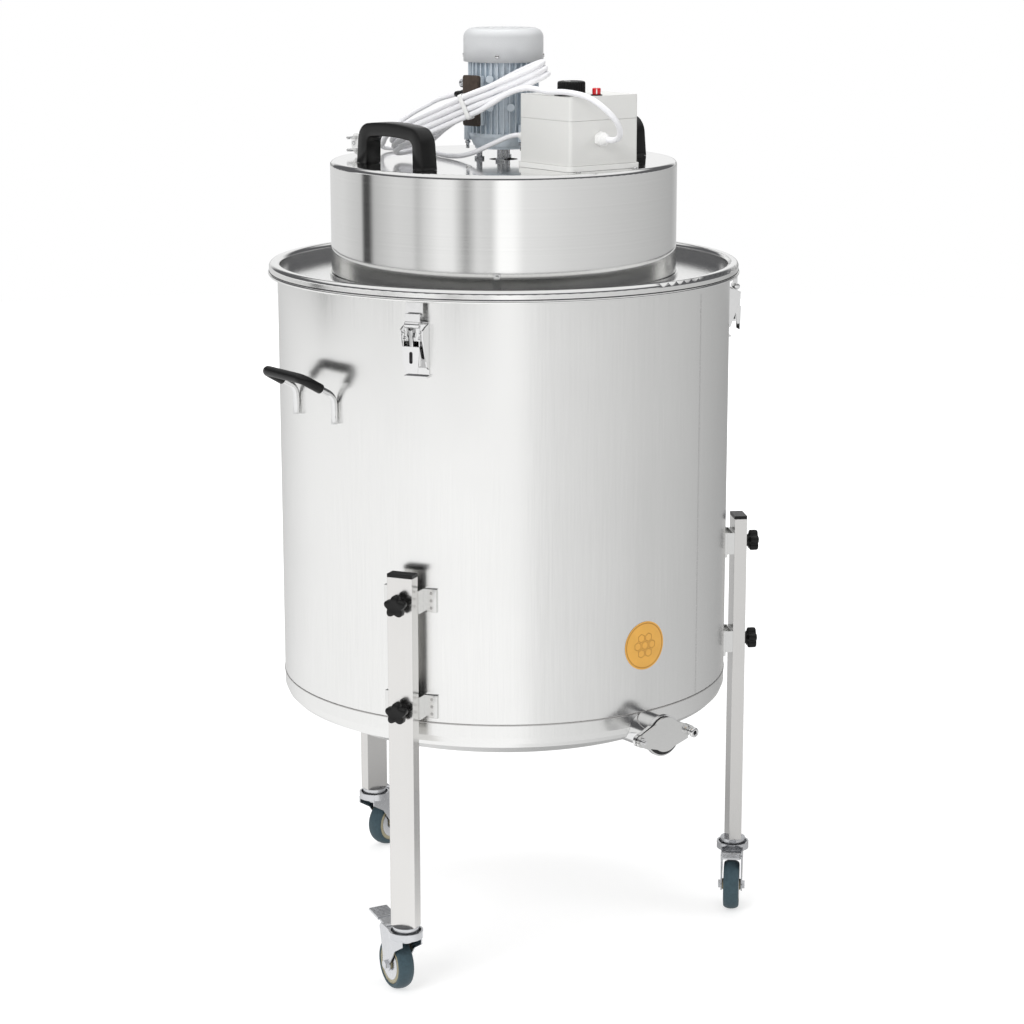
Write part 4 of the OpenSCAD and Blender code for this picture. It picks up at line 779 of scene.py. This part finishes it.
for name, a in LEGS:
    base = z_turn(a) @ shift(0, STEM_Y, 0) @ z_turn(SWIVEL[name] - a)
    axle = base @ shift(0, -TRAIL, AXLE_Z) @ Matrix.Rotation(math.radians(90), 4, "Y")
    rolls = "wheel_" + name
    w = add("tyre_" + name, *moved(wheel, axle), tyre, rolls)
    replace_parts(w, "castor_wheel_" + name)
    add("wheel_core_" + name, *moved(wheel_core, axle), core, rolls)
    add("wheel_cover_" + name, *moved(covers, axle), zinc, rolls)
    add("pedal_tread_" + name, *moved(tread, base), zinc, "pedal_" + name, bevel=0.3)


# Tank trims: weld line, pan seam and spot welds
def on_wall(a, z, r):
    return (r * math.sin(math.radians(a)), -r * math.cos(math.radians(a)), z)


WELD_A, WELD_Z, WELD_STEP, WELD_N = 20, 426, 8, 78
verts, faces = [], []
for i in range(WELD_N):
    for da, proud in ((-0.22, 0.02), (-0.08, 0.3), (0.08, 0.3), (0.22, 0.02)):
        verts.append(on_wall(WELD_A + da, WELD_Z + WELD_STEP * i, TANK_R + proud))
    if i < WELD_N - 1:
        faces += [(i * 4 + k, i * 4 + k + 1, i * 4 + k + 5, i * 4 + k + 4) for k in range(3)]
add("wall_weld_line", verts, faces, fine_weld, "machine")
SEAM_Z, CREASE_Z, WELD_X, WELD_OUT = 424, 1057, 34, 2.05
seam = [(TANK_R + r, SEAM_Z + z) for r, z in ((0.05, -1.4), (0.7, -0.7), (0.7, 0.7), (0.05, 1.4))]
add("pan_seam_bead", *lathe(seam, 240, False), weld, "machine")
# Thin black strip in the cover ring's crease: painted shadow where the lip meets the bead
crease = [(RING_R + r, CREASE_Z + z) for r, z in ((0.05, 0.1), (0.3, 0.4), (0.3, 1.3), (0.05, 1.6))]
add("ring_crease_painted_shadow", *lathe(crease, 240, False), rubber, "machine")
spots = []
spot = lathe([(2.6, -0.2), (2.2, 0.25), (1.2, 0.1), (0.1, 0.05)], 14)
for name, a in LEGS:
    for level, z in KNOB_LEVELS:
        for x in (-WELD_X, WELD_X):
            for dz in (-11, 0, 11):
                at = basis((x, -TANK_R - WELD_OUT, z + dz), (0, -1, 0))
                spots.append(moved(spot, z_turn(a) @ at))
add("bracket_welds", *join(*spots), weld, "machine")

# Tank handles: bent rods and their sleeves
ROD_R, HALF_L, GRIP_Y, GRIP_Z, BEND_Z, SLEEVE_R = 5.0, 52.0, -405.0, 931.0, 900.0, 7.5
ROD_Y = -math.sqrt((TANK_R + ROD_R + 0.2) ** 2 - HALF_L ** 2)
rods, sleeves = [], []
for a in (-90, 90):
    left = [(-HALF_L, ROD_Y, BEND_Z - 41), (-HALF_L, ROD_Y, BEND_Z), (-HALF_L, GRIP_Y, GRIP_Z)]
    path = left + [(-x, y, z) for x, y, z in left[::-1]]
    start = vec(left[1]).lerp(vec(left[2]), 0.42)
    sleeve = [start, left[2], path[3], (-start[0], start[1], start[2])]
    rods.append(sweep([turned(q, a) for q in bent(path, 13)], ROD_R))
    sleeves.append(sweep([turned(q, a) for q in bent(sleeve, 13)], SLEEVE_R, 32, 1.6))
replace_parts(add("handle_rods", *join(*rods), chrome, "machine"), "handle_bars")
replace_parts(add("handle_sleeves", *join(*sleeves), black, "machine"), "handle_grips")

# Latches: a rolled edge on each hook, and a black plate behind each lever's slot as painted shadow
LATCH_A = 2.5
roll = lathe([(3.2, -11.5), (4.3, -11.1), (4.6, -10.2), (4.6, 10.2), (4.3, 11.1), (3.2, 11.5)], 32)
roll = moved(roll, basis((0, -370.2, 1020.5), (1, 0, 0)))
# Black plate behind the lever's slot: painted shadow seen through the slot, not a part of the latch
dark = extrude(rounded(6.4, 19.0, 3.0), 0, 0.4)
dark = moved(dark, basis((0, -374.9, 973.9), (0, 1, 0), (1, 0, 0)))
for name, a in LEGS:
    add("hook_roll_" + name, *moved(roll, z_turn(a + LATCH_A)), chrome, "hook_" + name)
    add("lever_slot_" + name, *moved(dark, z_turn(a + LATCH_A)), rubber, "lever_" + name)

# Gate: a plate that leaves a crescent of the gasket bare, and a clamp knob with a hollow end
GATE_ARM, EAR_R, GATE_Z, PLATE_Y, SLOT_R, PIN_HOLE_R = 46.0, 9.0, 398.0, -398.1, 3.8, 3.05


def plate_edge(a, disc_r=26.5, rise=3.0):
    """Farthest point of the plate's disc, arms and ears from its middle, at angle a."""
    c, w = math.cos(a), math.sin(a)
    reach = rise * w + math.sqrt(disc_r ** 2 - (rise * c) ** 2)
    ear = EAR_R ** 2 - (GATE_ARM * w) ** 2
    if ear > 0:
        reach = max(reach, GATE_ARM * abs(c) + math.sqrt(ear))
    shoulder = disc_r * 0.97 + (rise if w > 0 else -rise)
    slope = (shoulder - EAR_R) / GATE_ARM
    arm = shoulder / (abs(w) + slope * abs(c))
    if arm * abs(c) <= GATE_ARM:
        reach = max(reach, arm)
    return reach * c, reach * w


plate = []
for k in range(181):
    x, y = plate_edge(math.radians(-179.5 + 359 * k / 180))
    if y > 0 or abs(x - GATE_ARM) > SLOT_R:
        plate.append((x, y))
    elif plate[-1][0] < GATE_ARM - SLOT_R:
        # The slot that lets the clamp's stud out
        plate.append((GATE_ARM - SLOT_R, y))
        for i in range(11):
            b = math.pi * i / 10
            plate.append((GATE_ARM - SLOT_R * math.cos(b), SLOT_R * math.sin(b)))
        plate.append((GATE_ARM + SLOT_R, y))
# The pivot's hole, joined to the edge by a hairline
for i in range(25):
    b = math.radians(1 + 358 * i / 24)
    plate.append((-GATE_ARM - PIN_HOLE_R * math.cos(b), PIN_HOLE_R * math.sin(b)))
gate_at = basis((0, PLATE_Y, GATE_Z), (0, -1, 0), (1, 0, 0))
lens = add("gate_lens", *moved(extrude(plate, 0, 4.0), gate_at), sheet_steel, "gate", flat=True)
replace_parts(lens, "gate_plate")
knob_at = basis((GATE_ARM, PLATE_Y - 4.3, GATE_Z), (0, -1, 0))
ring = lathe([(3.05, 0), (5, 0), (5, 2.6), (4.3, 3.4), (4.3, 4.6), (6.3, 5.8), (7.3, 7.6), (7.5, 9.2),
              (7.1, 11), (5.6, 12), (3.6, 12), (3.2, 11.4), (3.05, 9.4), (3.05, 0)], 40, False)
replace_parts(add("clamp_knob_ring", *moved(ring, knob_at), chrome, "clamp_knob"), "gate_knob")
eye = lathe([(3.0, 9.2), (2.6, 9.5), (0.05, 9.6)], 24)
add("clamp_knob_eye", *moved(eye, knob_at), rubber, "clamp_knob")

# Round label with a plain ring and a honeycomb of seven cells
LABEL_Z, LABEL_OUT, INK_OUT, CELL = 527, 0.25, 0.34, 13.5


def on_label(x, y, lift):
    """x along the wall and y up from the label's middle."""
    return on_wall(math.degrees(x / TANK_R), LABEL_Z + y, TANK_R + lift)


def label_disc(r0, r1, lift, rings):
    v, f, n = [], [], 72
    for j in range(rings + 1):
        r = r0 + (r1 - r0) * j / rings
        for k in range(n):
            b = 2 * math.pi * k / n
            v.append(on_label(r * math.cos(b), r * math.sin(b), lift))
    for j in range(rings):
        for k in range(n):
            q = (k + 1) % n
            f.append((j * n + k, j * n + q, (j + 1) * n + q, (j + 1) * n + k))
    return v, f


add("label_disc", *label_disc(0.2, 37, LABEL_OUT, 8), amber, "machine")
add("label_ring", *label_disc(33.6, 34.8, INK_OUT, 1), amber_dark, "machine")
verts, faces = [], []
for q, r in ((0, 0), (1, 0), (-1, 0), (0, 1), (0, -1), (1, -1), (-1, 1)):
    cx, cy = CELL * (q + r / 2), CELL * r * math.sqrt(3) / 2
    k0 = len(verts)
    for rad in (6.0, 7.0):
        for k in range(6):
            b = math.radians(60 * k + 30)
            verts.append(on_label(cx + rad * math.cos(b), cy + rad * math.sin(b), INK_OUT))
    for k in range(6):
        j = (k + 1) % 6
        faces.append((k0 + k, k0 + j, k0 + 6 + j, k0 + 6 + k))
add("label_cells", verts, faces, amber_dark, "machine")

# Floor, in millimetres like the rest, a hair below the castors
FLOOR_R, FLOOR_Z = 7300, -0.3
floor_v, floor_f = lathe([(0.02, FLOOR_Z), (1000, FLOOR_Z), (FLOOR_R, FLOOR_Z)], 96, False)
fm = bpy.data.meshes.new("studio_floor")
fm.from_pydata([tuple(vec(v) * MM) for v in floor_v], [], floor_f)
floor = bpy.data.objects.new("studio_floor", fm)
scene.collection.objects.link(floor)

# Brightness round the studio by azimuth; 0.25 of a turn is the gate's side, -Y, and the camera is near 0.15
FLOOR_ROUND = [(0.0, 0.93), (0.07, 0.97), (0.14, 0.98), (0.158, 1.0), (0.172, 0.98), (0.186, 0.79),
               (0.205, 0.77), (0.25, 0.72), (0.34, 0.60), (0.44, 0.52), (0.52, 0.41), (0.60, 0.36),
               (0.72, 0.62), (0.79, 0.80), (0.85, 0.91), (1.0, 0.93)]
WORLD_ROUND = [(0.0, 0.60), (0.03, 0.80), (0.055, 0.78), (0.08, 0.30), (0.10, 0.66), (0.125, 0.60),
               (0.14, 1.0), (0.165, 0.97), (0.185, 0.74), (0.27, 0.62), (0.42, 0.50), (0.56, 0.38),
               (0.66, 0.62), (0.78, 0.64), (0.848, 0.52), (0.856, 0.05), (0.872, 0.05), (0.885, 0.45),
               (0.94, 0.62), (0.975, 0.60), (0.986, 0.45), (1.0, 0.60)]


def around(nt, vector, stops):
    g = node(nt, "ShaderNodeTexGradient", gradient_type="RADIAL")
    nt.links.new(vector, g.inputs[0])
    return ramp(nt, g.outputs["Fac"], stops)


def maths(nt, operation, source, *values):
    """Result of an operation on source and the values, which are numbers or outputs of other nodes."""
    n = node(nt, "ShaderNodeMath", operation=operation)
    nt.links.new(source, n.inputs[0])
    for i, v in enumerate(values, 1):
        if isinstance(v, bpy.types.NodeSocket):
            nt.links.new(v, n.inputs[i])
        else:
            n.inputs[i].default_value = v
    return n.outputs[0]


def by_ray(nt, output, plain, mirror, seen):
    """Ends a tree: one shader for diffuse light, one for reflections and one for the camera."""
    lp = node(nt, "ShaderNodeLightPath")
    shader = plain.outputs[0]
    for ray, other in (("Is Glossy Ray", mirror), ("Is Camera Ray", seen)):
        mix = node(nt, "ShaderNodeMixShader")
        for i, source in enumerate((lp.outputs[ray], shader, other.outputs[0])):
            nt.links.new(source, mix.inputs[i])
        shader = mix.outputs[0]
    nt.links.new(shader, output.inputs["Surface"])


fmat = bpy.data.materials.new("studio_floor")
fmat.use_nodes = True
nt = fmat.node_tree
nt.nodes.clear()
place = node(nt, "ShaderNodeTexCoord").outputs["Object"]
# Near the object the floor keeps its shadow, farther out it fades to white
away = node(nt, "ShaderNodeVectorMath", operation="LENGTH")
nt.links.new(place, away.inputs[0])
glow = node(nt, "ShaderNodeEmission", Strength=1.0)
far = maths(nt, "MULTIPLY", away.outputs["Value"], 0.1)
nt.links.new(ramp(nt, far, [(0.0, 0.58), (0.12, 0.60), (0.30, 1.0)]), glow.inputs["Color"])
seen = node(nt, "ShaderNodeAddShader")
nt.links.new(node(nt, "ShaderNodeBsdfDiffuse", Color=grey(0.55)).outputs[0], seen.inputs[0])
nt.links.new(glow.outputs[0], seen.inputs[1])
plain = node(nt, "ShaderNodeBsdfDiffuse", Color=grey(0.80))
mirror = node(nt, "ShaderNodeEmission", Strength=1.12)
nt.links.new(around(nt, place, FLOOR_ROUND), mirror.inputs["Color"])
by_ray(nt, node(nt, "ShaderNodeOutputMaterial"), plain, mirror, seen)
fm.materials.append(fmat)

world = bpy.data.worlds.new("studio")
scene.world = world
world.use_nodes = True
nt = world.node_tree
nt.nodes.clear()
place = node(nt, "ShaderNodeTexCoord").outputs["Generated"]
sep = node(nt, "ShaderNodeSeparateXYZ")
nt.links.new(place, sep.inputs[0])
height = sep.outputs[2]
# Past the floor's edge reflections see WORLD_ROUND, and from just below the horizon up FLOOR_ROUND again
calm = ramp(nt, maths(nt, "MULTIPLY_ADD", height, 4.0, 1.0), [(0.70, 0.0), (0.82, 1.0)])
sides = mixed(nt, calm, around(nt, place, WORLD_ROUND), around(nt, place, FLOOR_ROUND))
# Above it the studio is dark up to the overhead softbox, apart from the part straight behind
up = ramp(nt, height, [(0.0, 0.0), (0.03, 0.0), (0.07, 1.0), (0.50, 1.0), (0.62, 0.0)])
CAMERA_WAY = (-0.5993, -0.8005, 0)
ahead = node(nt, "ShaderNodeVectorMath", operation="DOT_PRODUCT")
ahead.inputs[1].default_value = CAMERA_WAY
nt.links.new(place, ahead.inputs[0])
front = ramp(nt, maths(nt, "MULTIPLY_ADD", ahead.outputs["Value"], 0.5, 0.5), [(0.02, 0.0), (0.06, 1.0)])
dark = maths(nt, "MULTIPLY", up, front)
sky = ramp(nt, height, [(0.0, 0.0), (0.06, 1.0)])
studio = mixed(nt, dark, mixed(nt, sky, sides, grey(0.80)), (0.10, 0.10, 0.105, 1))
plain = node(nt, "ShaderNodeBackground", Color=grey(1), Strength=0.62)
mirror = node(nt, "ShaderNodeBackground", Strength=1.15)
nt.links.new(studio, mirror.inputs["Color"])
seen = node(nt, "ShaderNodeBackground", Color=grey(1), Strength=1.0)
by_ray(nt, node(nt, "ShaderNodeOutputWorld"), plain, mirror, seen)


def lamp(name, at, aim, size, watts):
    """Round lamp that lights the scene but isn't seen in reflections."""
    data = bpy.data.lights.new(name, "AREA")
    data.shape = "DISK"
    data.size = size
    data.energy = watts
    ob = bpy.data.objects.new(name, data)
    scene.collection.objects.link(ob)
    ob.location = at
    ob.rotation_euler = (vec(aim) - vec(at)).to_track_quat("-Z", "Y").to_euler()
    ob.visible_glossy = False


lamp("key_left", (-4.0, -1.6, 3.4), (0, 0, 0.8), 2.4, 110)
lamp("fill_right", (3.4, -3.6, 2.6), (0, 0, 0.8), 2.4, 40)
lamp("top", (0.3, 0.6, 4.4), (0, 0, 0.9), 2.0, 60)
